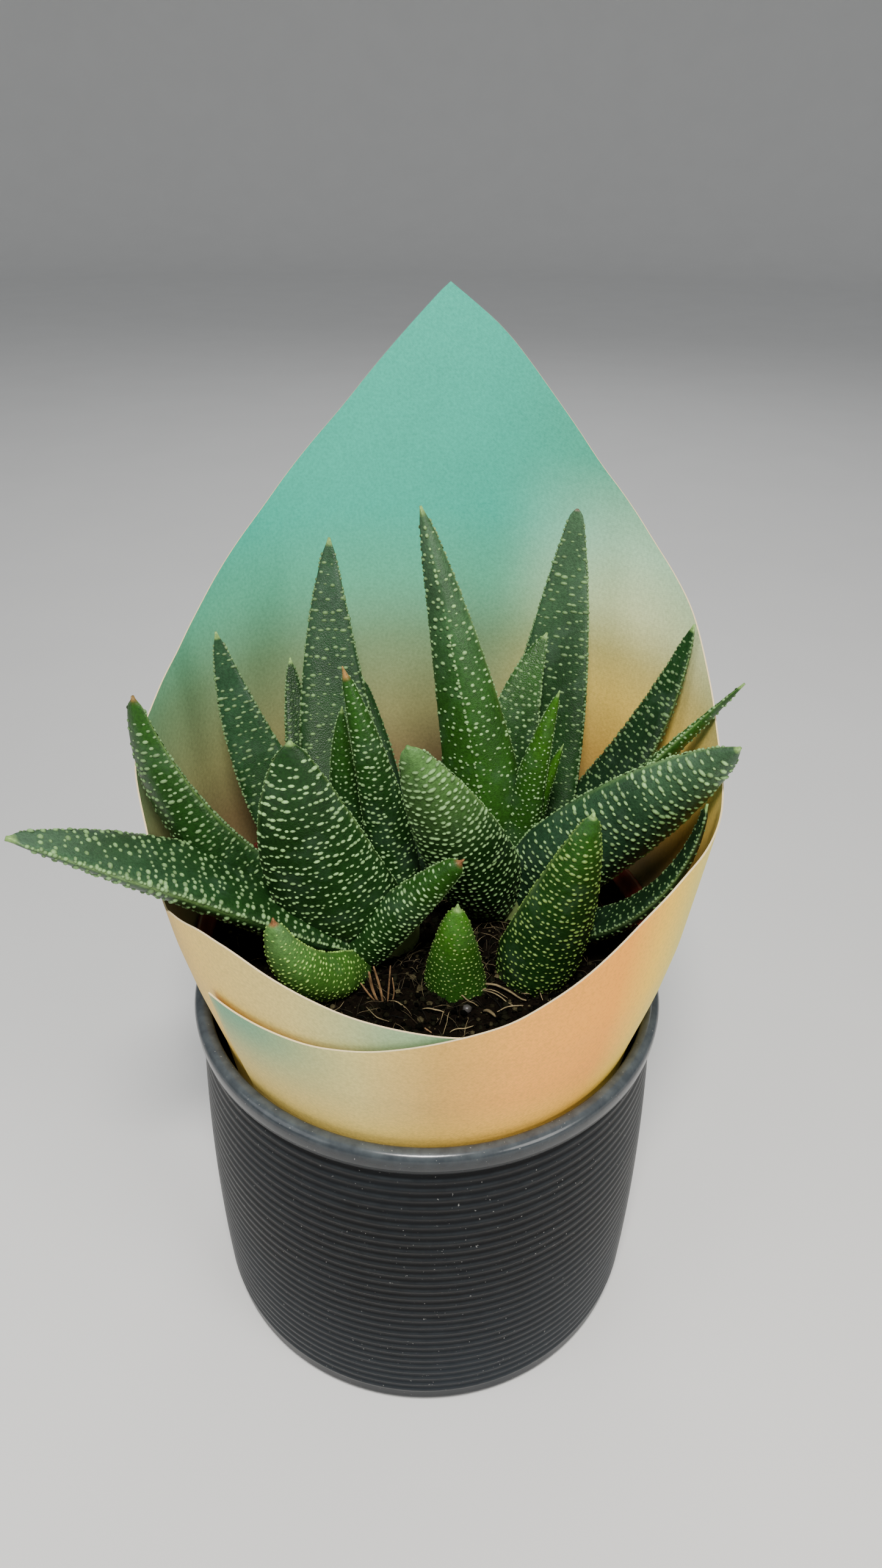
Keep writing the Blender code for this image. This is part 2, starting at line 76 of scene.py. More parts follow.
def add_camera():
    sight = Vector((math.sin(CAMERA_YAW) * math.cos(CAMERA_DOWN),
                    math.cos(CAMERA_YAW) * math.cos(CAMERA_DOWN), -math.sin(CAMERA_DOWN)))
    level = Vector((math.cos(CAMERA_YAW), -math.sin(CAMERA_YAW), 0))
    upright = level.cross(sight)
    right = level * math.cos(CAMERA_ROLL) + upright * math.sin(CAMERA_ROLL)
    up = upright * math.cos(CAMERA_ROLL) - level * math.sin(CAMERA_ROLL)
    data = bpy.data.cameras.new("camera")
    data.lens = CAMERA_LENS
    data.sensor_width = CAMERA_SENSOR
    data.clip_start = CAMERA_NEAR
    camera = bpy.data.objects.new("camera", data)
    turn = Matrix((right, up, -sight)).transposed().to_4x4()
    camera.matrix_world = Matrix.Translation(CAMERA_PLACE) @ turn
    bpy.context.scene.collection.objects.link(camera)
    bpy.context.scene.camera = camera


def add_lamp(name, place, aim, width, watts, colour):
    data = bpy.data.lights.new(name, "AREA")
    data.shape = "DISK"
    data.size = width
    data.energy = watts
    data.color = colour
    lamp = bpy.data.objects.new(name, data)
    lamp.location = place
    lamp.rotation_mode = "QUATERNION"
    lamp.rotation_quaternion = (Vector(aim) - Vector(place)).to_track_quat("-Z", "Y")
    bpy.context.scene.collection.objects.link(lamp)


def add_sky():
    world = bpy.data.worlds.new("studio")
    world.use_nodes = True
    world.node_tree.nodes["Background"].inputs["Color"].default_value = SKY
    world.node_tree.nodes["Background"].inputs["Strength"].default_value = SKY_STRENGTH
    bpy.context.scene.world = world


class Skin:
    """A material being put together, with short calls for the nodes used here."""

    def __init__(self, name, roughness, specular=0.5):
        self.material = bpy.data.materials.new(name)
        self.material.use_nodes = True
        self.tree = self.material.node_tree
        self.shader = self.tree.nodes["Principled BSDF"]
        self.shader.inputs["Roughness"].default_value = roughness
        self.shader.inputs["Specular IOR Level"].default_value = specular
        self.place = self.node("ShaderNodeTexCoord").outputs["Object"]

    def node(self, kind, inputs=None, **settings):
        made = self.tree.nodes.new(kind)
        for key, value in settings.items():
            setattr(made, key, value)
        for key, value in (inputs or {}).items():
            if isinstance(value, bpy.types.NodeSocket):
                self.tree.links.new(value, made.inputs[key])
            else:
                made.inputs[key].default_value = value
        return made

    def stretched(self, x, y, z):
        ways = {"Vector": self.place, "Scale": (x, y, z)}
        return self.node("ShaderNodeMapping", ways).outputs[0]

    def noise(self, scale, detail=3.0, rough=0.5, place=None):
        look = {"Vector": place or self.place, "Scale": scale, "Detail": detail, "Roughness": rough}
        return self.node("ShaderNodeTexNoise", look).outputs[0]

    def cells(self, scale):
        return self.node("ShaderNodeTexVoronoi", {"Vector": self.place, "Scale": scale}).outputs[0]

    def painted(self, name, socket="Color"):
        """What paint() put on the mesh under that name."""
        return self.node("ShaderNodeAttribute", attribute_name=name).outputs[socket]

    def scaled(self, value, low, high, to_low, to_high):
        """The value moved from one range to another, held inside it."""
        ranges = {0: value, 1: low, 2: high, 3: to_low, 4: to_high}
        return self.node("ShaderNodeMapRange", ranges).outputs[0]

    def math(self, operation, first, second):
        return self.node("ShaderNodeMath", {0: first, 1: second}, operation=operation).outputs[0]

    def mix(self, share, first, second, blend="MIX"):
        ends = [(*c, 1.0) if isinstance(c, tuple) else c for c in (first, second)]
        return self.node("ShaderNodeMix", {0: share, 6: ends[0], 7: ends[1]},
                         data_type="RGBA", blend_type=blend).outputs[2]

    def shaded(self, colour, value):
        """The colour made darker or lighter by a value round 1."""
        grey = self.node("ShaderNodeCombineColor", {0: value, 1: value, 2: value}).outputs[0]
        return self.mix(1.0, colour, grey, "MULTIPLY")

    def set(self, socket, value):
        self.tree.links.new(value, self.shader.inputs[socket])

    def coat(self, share, first, second):
        """Colour of the surface, mixed from two."""
        self.set("Base Color", self.mix(share, first, second))

    def bump(self, height, depth, strength=1.0):
        """Relief of that depth in metres."""
        relief = {"Height": height, "Distance": depth, "Strength": strength}
        self.set("Normal", self.node("ShaderNodeBump", relief).outputs[0])


def mesh_object(name, points, faces, skins, skin_of_face=None, smooth=True):
    """A new object from points in millimetres."""
    mesh = bpy.data.meshes.new(name)
    mesh.from_pydata((np.asarray(points) * MM).tolist(), [], faces)
    for skin in skins:
        mesh.materials.append(skin.material)
    if skin_of_face is not None:
        mesh.polygons.foreach_set("material_index", np.asarray(skin_of_face, dtype=np.int32))
    if smooth:
        mesh.shade_smooth()
    mesh.update()
    obj = bpy.data.objects.new(name, mesh)
    bpy.context.scene.collection.objects.link(obj)
    return obj


def grid_faces(rows, columns, start=0, wrap=True, flip=False):
    """Quads over rows of points that lie one after the other."""
    faces = []
    for i in range(rows - 1):
        for j in range(columns if wrap else columns - 1):
            a = start + i * columns + j
            b = start + i * columns + (j + 1) % columns
            face = (a, b, b + columns, a + columns)
            faces.append(face[::-1] if flip else face)
    return faces


def end_faces(rows, columns):
    """The first and the last ring of a grid of rings, each closed by one face."""
    last = (rows - 1) * columns
    return [tuple(range(columns))[::-1], tuple(range(last, last + columns))]


def ring_angles(count):
    return np.linspace(0, 2 * math.pi, count, endpoint=False)


def turned(name, profile, segments, skins, closed=True):
    """A body of revolution from (radius, height) points, bottom first, going round outside."""
    profile = np.asarray(profile, dtype=float)
    angle = ring_angles(segments)
    rings = np.stack([profile[:, :1] * np.cos(angle), profile[:, :1] * np.sin(angle),
                      profile[:, 1:] + 0 * angle], 2)
    faces = grid_faces(len(profile), segments)
    if closed:
        faces += end_faces(len(profile), segments)
    return mesh_object(name, rings.reshape(-1, 3), faces, skins)


def add_floor():
    skin = Skin("stage_paint", 0.9, 0.1)
    skin.coat(skin.noise(14.0, 2.0), FLOOR_DARK, FLOOR_PALE)
    bend = [(FLOOR_FLAT + FLOOR_BEND * math.sin(a), FLOOR_BEND - FLOOR_BEND * math.cos(a))
            for a in np.linspace(0, math.pi / 2, 12)]
    line = [(1.0, 0.0), (900.0, 0.0), *bend, (FLOOR_FLAT + FLOOR_BEND, FLOOR_WALL)]
    bowl = turned("stage_floor", line, 96, [skin], closed=False)


add_camera()
add_floor()
add_sky()
for lamp in LAMPS:
    add_lamp(*lamp)


# Cover pot
#
# The outer pot is slip-cast stoneware in a dark satin glaze, with fine turned ribs from the
# foot to a rolled rim. The glaze is painted lighter on the crests and upper sides of the ribs
# and on the rim, partly where it breaks with wear and partly as painted highlight, and the rim
# is mottled by wear. Toward the foot a painted sheen lightens it, and specks of pale dust lie
# on it.
POT_HEIGHT = 103.5
POT_TOP_RIB = 61.0
POT_BOTTOM_RIB = 61.7
POT_BELLY = 62.6
POT_MOUTH = 58.2
POT_LIP = 62.6
POT_LIP_HEIGHT = 6.5
POT_FOOT = 58.5
POT_FLOOR = 8.0
POT_MIDDLE = 60.0
POT_SEGMENTS = 150
LIP_BOTTOM = POT_HEIGHT - POT_LIP_HEIGHT
LIP_STEPS = 13
RIM_GLAZE_RISE = 2.8  # the rim glaze (wear and painted highlight) starts this far above the lip's bottom

RIB_COUNT = 29
RIB_PITCH = 3.08
RIB_DEPTH = 0.38
TOP_RIB_HEIGHT = 93.3
BOTTOM_RIB_HEIGHT = TOP_RIB_HEIGHT - (RIB_COUNT - 1) * RIB_PITCH
# Round one crest: shares of the pitch above it and of the rib's depth below it, and the share
# of wear and painted highlight
RIB_STEPS = ((-0.46, 1.0, 0.0), (-0.32, 0.74, 0.0), (-0.16, 0.22, 0.0),
             (0.0, 0.0, 0.1), (0.16, 0.22, 0.22), (0.32, 0.74, 0.03))
# Under the lowest rib: radius past the foot's, height, and the share of wear and painted highlight
FOOT_STEPS = ((-28.5, 0.6, 0.0), (-3, 0.6, 0.0), (-2.4, 0.0, 0.3), (0, 0.0, 0.3),
              (1.1, 0.4, 0.25), (1.8, 1.2, 0.15), (2.5, 2.4, 0.1), (2.6, 3.2, 0.0))

GLAZE = (0.0010, 0.0011, 0.0016)
# Lighter glaze for the painted sheen toward the foot
FOOT_SHEEN_GLAZE = (0.010, 0.014, 0.019)
# Glaze where it wears, and where highlight is painted on the rib crests and the rim
WORN_LIT_GLAZE = (0.042, 0.052, 0.061)
BARE_LIT_GLAZE = (0.074, 0.089, 0.099)
DUST = (0.36, 0.36, 0.34)


def paint(obj, name, colours):
    """Puts one colour per point on the mesh for the material to read."""
    colours = np.asarray(colours, dtype=np.float32)
    full = np.ones((len(colours), 4), dtype=np.float32)
    full[:, :3] = colours
    layer = obj.data.color_attributes.new(name, "FLOAT_COLOR", "POINT")
    layer.data.foreach_set("color", full.ravel())


def pot_wall(height):
    """Radius of the ribs' crests, which bulge a little at the middle."""
    t = (TOP_RIB_HEIGHT - height) / ((RIB_COUNT - 1) * RIB_PITCH)
    bulge = 4 * (POT_BELLY - (POT_TOP_RIB + POT_BOTTOM_RIB) / 2)
    return POT_TOP_RIB + (POT_BOTTOM_RIB - POT_TOP_RIB) * t + bulge * t * (1 - t)


def pot_line():
    """(radius, height, share of wear and painted highlight) from the foot up the ribs, over the
    lip and down to the floor.
    """
    line = [(POT_FOOT + past, height, wear_and_highlight) for past, height, wear_and_highlight in FOOT_STEPS]
    for k in range(RIB_COUNT):
        crest = BOTTOM_RIB_HEIGHT + k * RIB_PITCH
        for step, drop, wear_and_highlight in RIB_STEPS:
            height = crest + step * RIB_PITCH
            line.append((pot_wall(height) - RIB_DEPTH * drop, height, wear_and_highlight))
    groove = pot_wall(LIP_BOTTOM) - RIB_DEPTH
    line += [(groove, LIP_BOTTOM - 1.6, 0.0), (groove, LIP_BOTTOM - 0.9, 0.0),
             (POT_LIP - 1.0, LIP_BOTTOM - 0.1, 0.03), (POT_LIP - 0.4, LIP_BOTTOM + 0.7, 0.08),
             (POT_LIP - 0.1, LIP_BOTTOM + 2.0, 0.2)]
    middle = (POT_LIP + POT_MOUTH) / 2
    half = (POT_LIP - POT_MOUTH) / 2
    for angle in np.linspace(0, math.pi, LIP_STEPS):
        over = math.sin(angle)
        line.append((middle + half * math.cos(angle), POT_HEIGHT - half * (1 - over),
                     0.35 + 0.6 * over))
    return line + [(POT_MOUTH, LIP_BOTTOM - 2.0, 0.3), (POT_MOUTH - 0.4, POT_MIDDLE, 0.1),
                   (POT_MOUTH - 0.8, POT_FLOOR + 8, 0.1), (POT_MOUTH - 3, POT_FLOOR + 2, 0.1),
                   (POT_MOUTH - 8, POT_FLOOR, 0.1)]


def dark_glaze(name, specular, smooth, rough):
    skin = Skin(name, rough, specular)
    # Painted highlight and wear: lighter glaze on the ribs' upper sides and on the rim
    wear_and_highlight = skin.painted("wear_and_highlight", "Fac")
    cloud = skin.noise(45.0, 4.0, 0.6)
    mottle = skin.noise(260.0, 3.0, 0.6)
    height = skin.node("ShaderNodeSeparateXYZ", {0: skin.place}).outputs["Z"]
    # Painted sheen: the glaze grows lighter toward the foot, with a cloudy variation
    low = skin.math("ADD", skin.scaled(height, 0.004, 0.055, 0.6, 0.0),
                    skin.scaled(cloud, 0.35, 0.7, -0.1, 0.2))
    body = skin.mix(low, GLAZE, FOOT_SHEEN_GLAZE)
    worn_and_lit = skin.mix(skin.scaled(mottle, 0.35, 0.7, 0.0, 1.0), WORN_LIT_GLAZE, BARE_LIT_GLAZE)
    dust = skin.scaled(skin.noise(1500.0, 1.0, 0.4), 0.755, 0.78, 0.0, 0.45)
    skin.coat(dust, skin.mix(wear_and_highlight, body, worn_and_lit), DUST)
    skin.set("Roughness", skin.scaled(cloud, 0.3, 0.7, smooth, rough))
    skin.bump(mottle, 0.00006, 0.5)
    return skin


def cover_pot():
    line = np.array(pot_line())
    glazes = [dark_glaze("dark_glaze", 0.11, 0.26, 0.36), dark_glaze("rim_glaze", 0.4, 0.15, 0.25)]
    pot = turned("glazed_cover_pot", line[:, :2], POT_SEGMENTS, glazes)
    rim_height = (LIP_BOTTOM + RIM_GLAZE_RISE) * MM
    on_rim = [face.center.z > rim_height for face in pot.data.polygons]
    pot.data.polygons.foreach_set("material_index", np.array(on_rim, dtype=np.int32))
    wear_and_highlight = np.repeat(line[:, 2], POT_SEGMENTS)
    paint(pot, "wear_and_highlight", np.stack([wear_and_highlight] * 3, 1))
    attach(pot, "root")
    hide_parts("cover_pot")


cover_pot()


# Growing pot
#
# The plant's own pot is thin moulded plastic in a dark brick red. Only its rim and the top of
# its collar show inside the sleeve; its foot stands on the cover pot's floor.
GROW_RIM_HEIGHT = 122.0
GROW_RIM = 60.4
GROW_COLLAR = 9.0
GROW_HEIGHT = 113.7
GROW_NECK = 55.0
GROW_FOOT = 42.0
GROW_WALL = 1.2
GROW_MIDDLE = 60
GROW_SEGMENTS = 128
GROW_FOOT_HEIGHT = GROW_RIM_HEIGHT - GROW_HEIGHT
GROW_NECK_HEIGHT = GROW_RIM_HEIGHT - GROW_COLLAR
BRICK = (0.11, 0.014, 0.009)
BRICK_SCUFFED = (0.19, 0.034, 0.02)


def grow_wall(height):
    """Outer radius of the tapered wall under the collar."""
    spread = (GROW_NECK - GROW_FOOT) * (height - GROW_FOOT_HEIGHT)
    return GROW_FOOT + spread / (GROW_NECK_HEIGHT - GROW_FOOT_HEIGHT)


def brick_red_plastic():
    skin = Skin("brick_red_plastic", 0.45, 0.45)
    scuff = skin.noise(160.0, 4.0, 0.6)
    skin.coat(skin.scaled(scuff, 0.35, 0.7, 0, 1), BRICK, BRICK_SCUFFED)
    skin.set("Roughness", skin.scaled(scuff, 0.3, 0.7, 0.38, 0.6))
    skin.bump(skin.noise(700.0, 2.0), 0.00006, 0.6)
    return skin


def growing_pot():
    foot, neck, top = GROW_FOOT_HEIGHT, GROW_NECK_HEIGHT, GROW_RIM_HEIGHT
    inside = GROW_RIM - GROW_WALL - 1.0
    line = [(5.0, foot), (GROW_FOOT - 2, foot), (GROW_FOOT - 0.6, foot + 0.6),
            (GROW_FOOT, foot + 2), (grow_wall(GROW_MIDDLE), GROW_MIDDLE), (GROW_NECK, neck),
            (GROW_RIM - 1.9, neck + 0.8), (GROW_RIM - 1.4, neck + 1.6),
            (GROW_RIM - 0.9, top - 2.4), (GROW_RIM - 0.05, top - 2.0), (GROW_RIM, top - 1.4),
            (GROW_RIM - 0.1, top - 0.4), (GROW_RIM - 0.5, top), (GROW_RIM - 0.9, top),
            (GROW_RIM - GROW_WALL, top - 0.4), (inside, top - 2.4), (inside - 0.6, neck + 2.4),
            (GROW_NECK - GROW_WALL, neck - 0.6), (GROW_FOOT - GROW_WALL, foot + 3.5),
            (GROW_FOOT - GROW_WALL - 1.5, foot + 1.6)]
    pot = turned("plastic_growing_pot", line, GROW_SEGMENTS, [brick_red_plastic()])
    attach(pot, "root")
    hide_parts("growing_pot")


growing_pot()


# Paper sleeve
#
# One sheet of printed paper, cut to a point at the back and rolled into a flaring cone round
# the growing pot, with its ends lapped at the front left. The print runs from teal at the
# point to sand below and peach at the right, and the cut edges are bare cream paper. Inside,
# near the soil, the print is darkened with painted shade.
SLEEVE_PAPER = 0.38
SLEEVE_BOTTOM = 44.0
SLEEVE_OFF_WALL = 0.5
# Headings are counted from +X by way of the back, and on past 360 as the sheet goes round
SLEEVE_OUTER_END = 224.5
SLEEVE_INNER_END = 656.0
SLEEVE_POINT = 449.0
SLEEVE_COLUMNS = 300
SLEEVE_LAP = SLEEVE_INNER_END - SLEEVE_OUTER_END - 360.0
# The gap under the lapped end, how it grows with height, and where and how slowly it closes
SLEEVE_LAP_GAP = 0.57
SLEEVE_LAP_SPREAD = 0.02
SLEEVE_LAP_MARGIN = 4
SLEEVE_LAP_EASE = 90.0
# Where the cover pot's mouth draws the cone in, and how it then clears the growing pot's rim
SLEEVE_MOUTH = [(55.3, 97.0), (56.0, 101.5), (56.6, 104.0)]
SLEEVE_RIM_CLEAR = 0.9
SLEEVE_PINCH = 1.0
SLEEVE_PINCH_HEIGHT = 14.0
# How far the cone widens as it rises, and how much more or less at the left, back and front
FLARE = 0.145
FLARE_LEFT = 0.02
FLARE_BACK = 0.05
FLARE_FRONT = 0.045
RIPPLE = 0.1  # how far the sheet waves in and out
# Height of the free edge at angles from the point, going right and going left
SLEEVE_RIGHT_EDGE = (
    (0, 264), (10, 253), (20, 238), (31, 223), (47, 207), (61, 196), (71, 185), (82, 175),
    (90, 171), (100, 169), (126, 169), (137, 164.5), (150, 154.5), (162, 147), (172, 144),
    (188, 139), (199, 137), (225, 136.5))
SLEEVE_LEFT_EDGE = (
    (0, 264), (20, 233), (38, 210), (57, 190), (66, 182), (78, 175), (96, 168), (101, 157),
    (106, 148), (117, 145.5), (123, 150), (137, 156), (146, 156), (154, 153), (169, 147.5),
    (187, 143), (207, 140))

TEAL = (0.026, 0.385, 0.27)
MINT = (0.08, 0.385, 0.23)
SAGE = (0.32, 0.44, 0.22)
SAND = (0.72, 0.58, 0.18)
OCHRE = (0.66, 0.38, 0.07)
# Brown of the painted shade at the foot of the inside wall, among the leaves
SHADE_BROWN = (0.20, 0.14, 0.06)
PEACH = (0.95, 0.40, 0.04)
APRICOT = (1.0, 0.37, 0.005)
STRAW = (1.0, 0.60, 0.02)
# Greens of the inside print, darkened with painted shade among the leaves
SHADED_MOSS = (0.28, 0.275, 0.11)
SHADED_FERN = (0.15, 0.26, 0.125)
PEARL = (0.80, 0.84, 0.44)
MIST = (0.50, 0.76, 0.48)
HONEY = (0.98, 0.66, 0.13)
LEMON = (0.84, 0.68, 0.10)
CREAM = (0.86, 0.70, 0.40)
BARE_FIBRE = (0.66, 0.52, 0.30)
RUBBED = (0.26, 0.19, 0.10)
# The print by heading round the outside, and by height inside at the left and at the right,
# with painted shade in the lowest stops inside
WASH_OUTSIDE = (
    (225, SAND), (258, SAND), (274, OCHRE), (290, PEACH), (309, APRICOT), (320, STRAW),
    (332, LEMON), (358, LEMON), (376, SAGE), (397, MINT), (449, TEAL), (500, MINT),
    (535, SAGE), (560, OCHRE), (580, HONEY), (606, SAND), (624, SAGE), (656, MINT))
INSIDE_PRINT_AND_SHADE = ((112, SHADE_BROWN), (132, SHADE_BROWN), (148, SHADED_MOSS), (170, SHADED_FERN), (188, MINT),
               (206, TEAL), (264, TEAL))
RIGHT_PRINT_AND_SHADE = ((126, SHADE_BROWN), (146, OCHRE), (163, HONEY), (175, SAND), (188, PEARL),
              (203, MIST), (224, MINT))


def through(value, stops):
    """Colours at those values, from (value, colour) stops in rising order."""
    places = [place for place, colour in stops]
    return np.stack([np.interp(value, places, [colour[k] for place, colour in stops])
                     for k in range(3)], -1)


def step_up(value, low, high):
    """0 below low, 1 above high, with a smooth rise between."""
    t = np.clip((value - low) / (high - low), 0, 1)
    return t * t * (3 - 2 * t)


def cut_height(side):
    """Height of the cut edge at angles from the point, right of it above 0 and left below."""
    right = np.interp(side, *zip(*SLEEVE_RIGHT_EDGE))
    left = np.interp(-side, *zip(*SLEEVE_LEFT_EDGE))
    return np.where(side >= 0, right, left)


def eased_cut(headings):
    """The cut edge with its corners eased over 5 degrees, all but the point."""
    reach = np.linspace(-2.5, 2.5, 5)
    edge = sum(cut_height(SLEEVE_POINT - headings - step) for step in reach) / len(reach)
    off_point = step_up(np.abs(headings - SLEEVE_POINT), 1, 5)
    return edge * off_point + cut_height(SLEEVE_POINT - headings) * (1 - off_point)


def cone_lines(headings):
    """(radius, height) lines of the cone from its bottom to the cut, rounded at the bends."""
    turn = np.radians(headings)
    lean = np.where(np.sin(turn) > 0, FLARE_BACK, FLARE_FRONT) * np.sin(turn)
    flare = FLARE - FLARE_LEFT * np.cos(turn) + lean
    rim = GROW_RIM + SLEEVE_RIM_CLEAR
    fixed = [(grow_wall(SLEEVE_BOTTOM) + SLEEVE_OFF_WALL, SLEEVE_BOTTOM), *SLEEVE_MOUTH,
             (rim, GROW_RIM_HEIGHT)]
    lower = np.array([[point] * len(headings) for point in fixed])
    shares = np.array([0.1, 0.2, 0.3, 0.4, 0.55, 0.7, 0.85, 1.0])[:, None]
    rise = (eased_cut(headings) - GROW_RIM_HEIGHT) * shares
    ease = SLEEVE_PINCH * np.minimum(1, rise / SLEEVE_PINCH_HEIGHT)
    upper = np.stack([rim + ease + flare * rise, GROW_RIM_HEIGHT + rise], 2)
    path = np.concatenate([lower, upper])
    for _ in range(2):
        near = path[:-1] * 0.75 + path[1:] * 0.25
        far = path[:-1] * 0.25 + path[1:] * 0.75
        inside = np.stack([near, far], 1).reshape(-1, *near.shape[1:])
        path = np.concatenate([path[:1], inside, path[-1:]])
    return path


def sleeve_walls(headings):
    """Inner and outer lines of the sheet, which lies clear of its own lapped end."""
    path = cone_lines(headings)
    along = np.gradient(path, axis=0)
    along /= np.linalg.norm(along, axis=2)[:, :, None]
    normal = np.stack([along[:, :, 1], -along[:, :, 0]], 2)
    past = headings - SLEEVE_OUTER_END - SLEEVE_LAP - SLEEVE_LAP_MARGIN
    lap = np.clip(1 - past / SLEEVE_LAP_EASE, 0, 1)
    rise = np.maximum(0, path[:, :, 1] - GROW_RIM_HEIGHT)
    loose = lap * (SLEEVE_PAPER + SLEEVE_LAP_GAP + SLEEVE_LAP_SPREAD * rise)
    ripple = np.array([[noise.noise(Vector((heading * 0.045, height * 0.02, 3.0)))
                        for heading, height in zip(headings, row)] for row in path[:, :, 1]])
    loose = loose + RIPPLE + RIPPLE * ripple * np.clip(rise / 20, 0, 1)
    inner = path + normal * loose[:, :, None]
    return inner, inner + normal * SLEEVE_PAPER


def outside_wash(headings, height):
    """The print outside: round the cone, honey low down, and mint at the outer end's corner."""
    around = through(headings, WASH_OUTSIDE)
    low = 0.65 * (1 - step_up(height, 98, 122))[..., None]
    around = around * (1 - low) + np.array(HONEY) * low
    corner = step_up(height, 112, 136) * (1 - step_up(headings, 232, 266))
    corner = 0.85 * (corner * step_up(headings, 223, 227))[..., None]
    return around * (1 - corner) + np.array(MINT) * corner


def inside_print_and_shade(headings, height):
    """The print inside, darkened with painted shade low down: by height, paler to the right of the
    point, and ochre in front.
    """
    left_and_back = through(height, INSIDE_PRINT_AND_SHADE)
    right = step_up(SLEEVE_POINT - headings, 8, 48)[..., None]
    pale = through(height, RIGHT_PRINT_AND_SHADE)
    front = step_up(np.abs(headings - SLEEVE_POINT), 110, 150)[..., None]
    wash = left_and_back * (1 - 0.9 * right) + pale * 0.9 * right
    return wash * (1 - front) + np.array(OCHRE) * front


def printed_paper(name, gloss):
    skin = Skin(name, gloss, 0.35)
    # The print colour painted on the mesh; inside, it also carries painted shade near the soil
    wash = skin.painted("wash")
    grain = skin.noise(1300.0, 3.0, 0.6)
    lines = {"Vector": skin.place, "Scale": 900.0, "Distortion": 1.0}
    screen = skin.node("ShaderNodeTexWave", lines, bands_direction="DIAGONAL").outputs["Fac"]
    tint = skin.math("ADD", skin.scaled(grain, 0.3, 0.7, 0.85, 1.1),
                     skin.scaled(screen, 0.0, 1.0, -0.02, 0.02))
    cloud = skin.scaled(skin.noise(24.0, 3.0), 0.3, 0.7, 0.94, 1.05)
    printed = skin.shaded(wash, skin.math("MULTIPLY", tint, cloud))
    scuff = skin.noise(300.0, 4.0, 0.7, skin.stretched(1.0, 1.0, 0.35))
    skin.coat(skin.scaled(scuff, 0.73, 0.8, 0.0, 0.5), printed, RUBBED)
    skin.bump(skin.math("ADD", grain, skin.noise(120.0, 3.0)), 0.0001, 0.6)
    return skin


def cut_paper_edge():
    skin = Skin("cut_paper_edge", 0.85, 0.2)
    fibre = skin.noise(1500.0, 3.0, 0.7)
    skin.coat(fibre, BARE_FIBRE, CREAM)
    skin.bump(fibre, 0.0001, 0.5)
    return skin


def cut_faces(rows, columns):
    """Faces between the two walls: along the bottom and the cut, then down both ends."""
    size = rows * columns
    faces = []
    for j in range(columns - 1):
        for low in (0, (rows - 1) * columns):
            a, b = low + j, low + j + 1
            face = (a, b, b + size, a + size)
            faces.append(face if low else face[::-1])
    for i in range(rows - 1):
        for side in (0, columns - 1):
            a, b = i * columns + side, (i + 1) * columns + side
            face = (a, b, b + size, a + size)
            faces.append(face[::-1] if side else face)
    return faces


def paper_sleeve():
    headings = np.linspace(SLEEVE_OUTER_END, SLEEVE_INNER_END, SLEEVE_COLUMNS + 1)
    turn = np.radians(headings)
    points = []
    colours = []
    for wall, wash in zip(sleeve_walls(headings), (inside_print_and_shade, outside_wash)):
        radius, height = wall[:, :, 0], wall[:, :, 1]
        place = np.stack([radius * np.cos(turn), radius * np.sin(turn), height], 2)
        points.append(place.reshape(-1, 3))
        colours.append(wash(np.broadcast_to(headings, height.shape), height).reshape(-1, 3))
    rows, columns = height.shape
    inner = grid_faces(rows, columns, 0, False, True)
    outer = grid_faces(rows, columns, rows * columns, False)
    cut = cut_faces(rows, columns)
    skin_of_face = [0] * len(inner) + [1] * len(outer) + [2] * len(cut)
    papers = [printed_paper("paper_inside", 0.62), printed_paper("paper_outside", 0.5),
              cut_paper_edge()]
    sleeve = mesh_object("printed_paper_sleeve", np.concatenate(points), inner + outer + cut,
                         papers, skin_of_face)
    sleeve.data.set_sharp_from_angle(angle=math.radians(40))
    paint(sleeve, "wash", np.concatenate(colours))
    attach(sleeve, "root")
    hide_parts("paper_sleeve")


paper_sleeve()


# Soil
#
# Fine black peat fills the growing pot to just under its rim, mounded a little at the middle.
# Loose crumbs, pale root fibres and one small stone lie on it, and a few dry stubs of old
# leaf stalks stand up from it.
SOIL_HEIGHT = 116.0
SOIL_MOUND = 2.5
SOIL_RADIUS = 57.0
SOIL_RINGS = 90
SOIL_SEGMENTS = 200
# Radius and height of the two rings under the top
SOIL_SIDE = ((50.0, 101.0), (56.4, 115.2))
CRUMBS = 8000
CRUMB_REACH = 55.5
LUMP_CORNERS = 12
FIBRES = 900
# Where each long strand starts, and its heading, length, radius and bow
LONG_STRANDS = (
    ((2.4, -20.8), -34, 14.5, 0.2, 10), ((10.8, -21.5), -12, 16.5, 0.28, -14),
    ((11.5, -22.6), -16, 13.0, 0.16, 10), ((9.8, -23.0), -4, 12.0, 0.13, -8),
    ((24.0, -23.8), 4, 10, 0.2, 20), ((17.9, -29.8), 14, 7, 0.16, -16),
    ((-0.2, -30.5), -8, 6, 0.18, 12), ((6.6, -37.5), 26, 6.5, 0.15, 14),
    ((28.5, -20.6), -80, 6, 0.13, 24), ((-8.0, -27.9), -38, 5, 0.13, 16),
    ((-13.8, -30.3), -42, 8, 0.12, 25), ((14.5, -30.8), -28, 3.6, 0.4, 5))
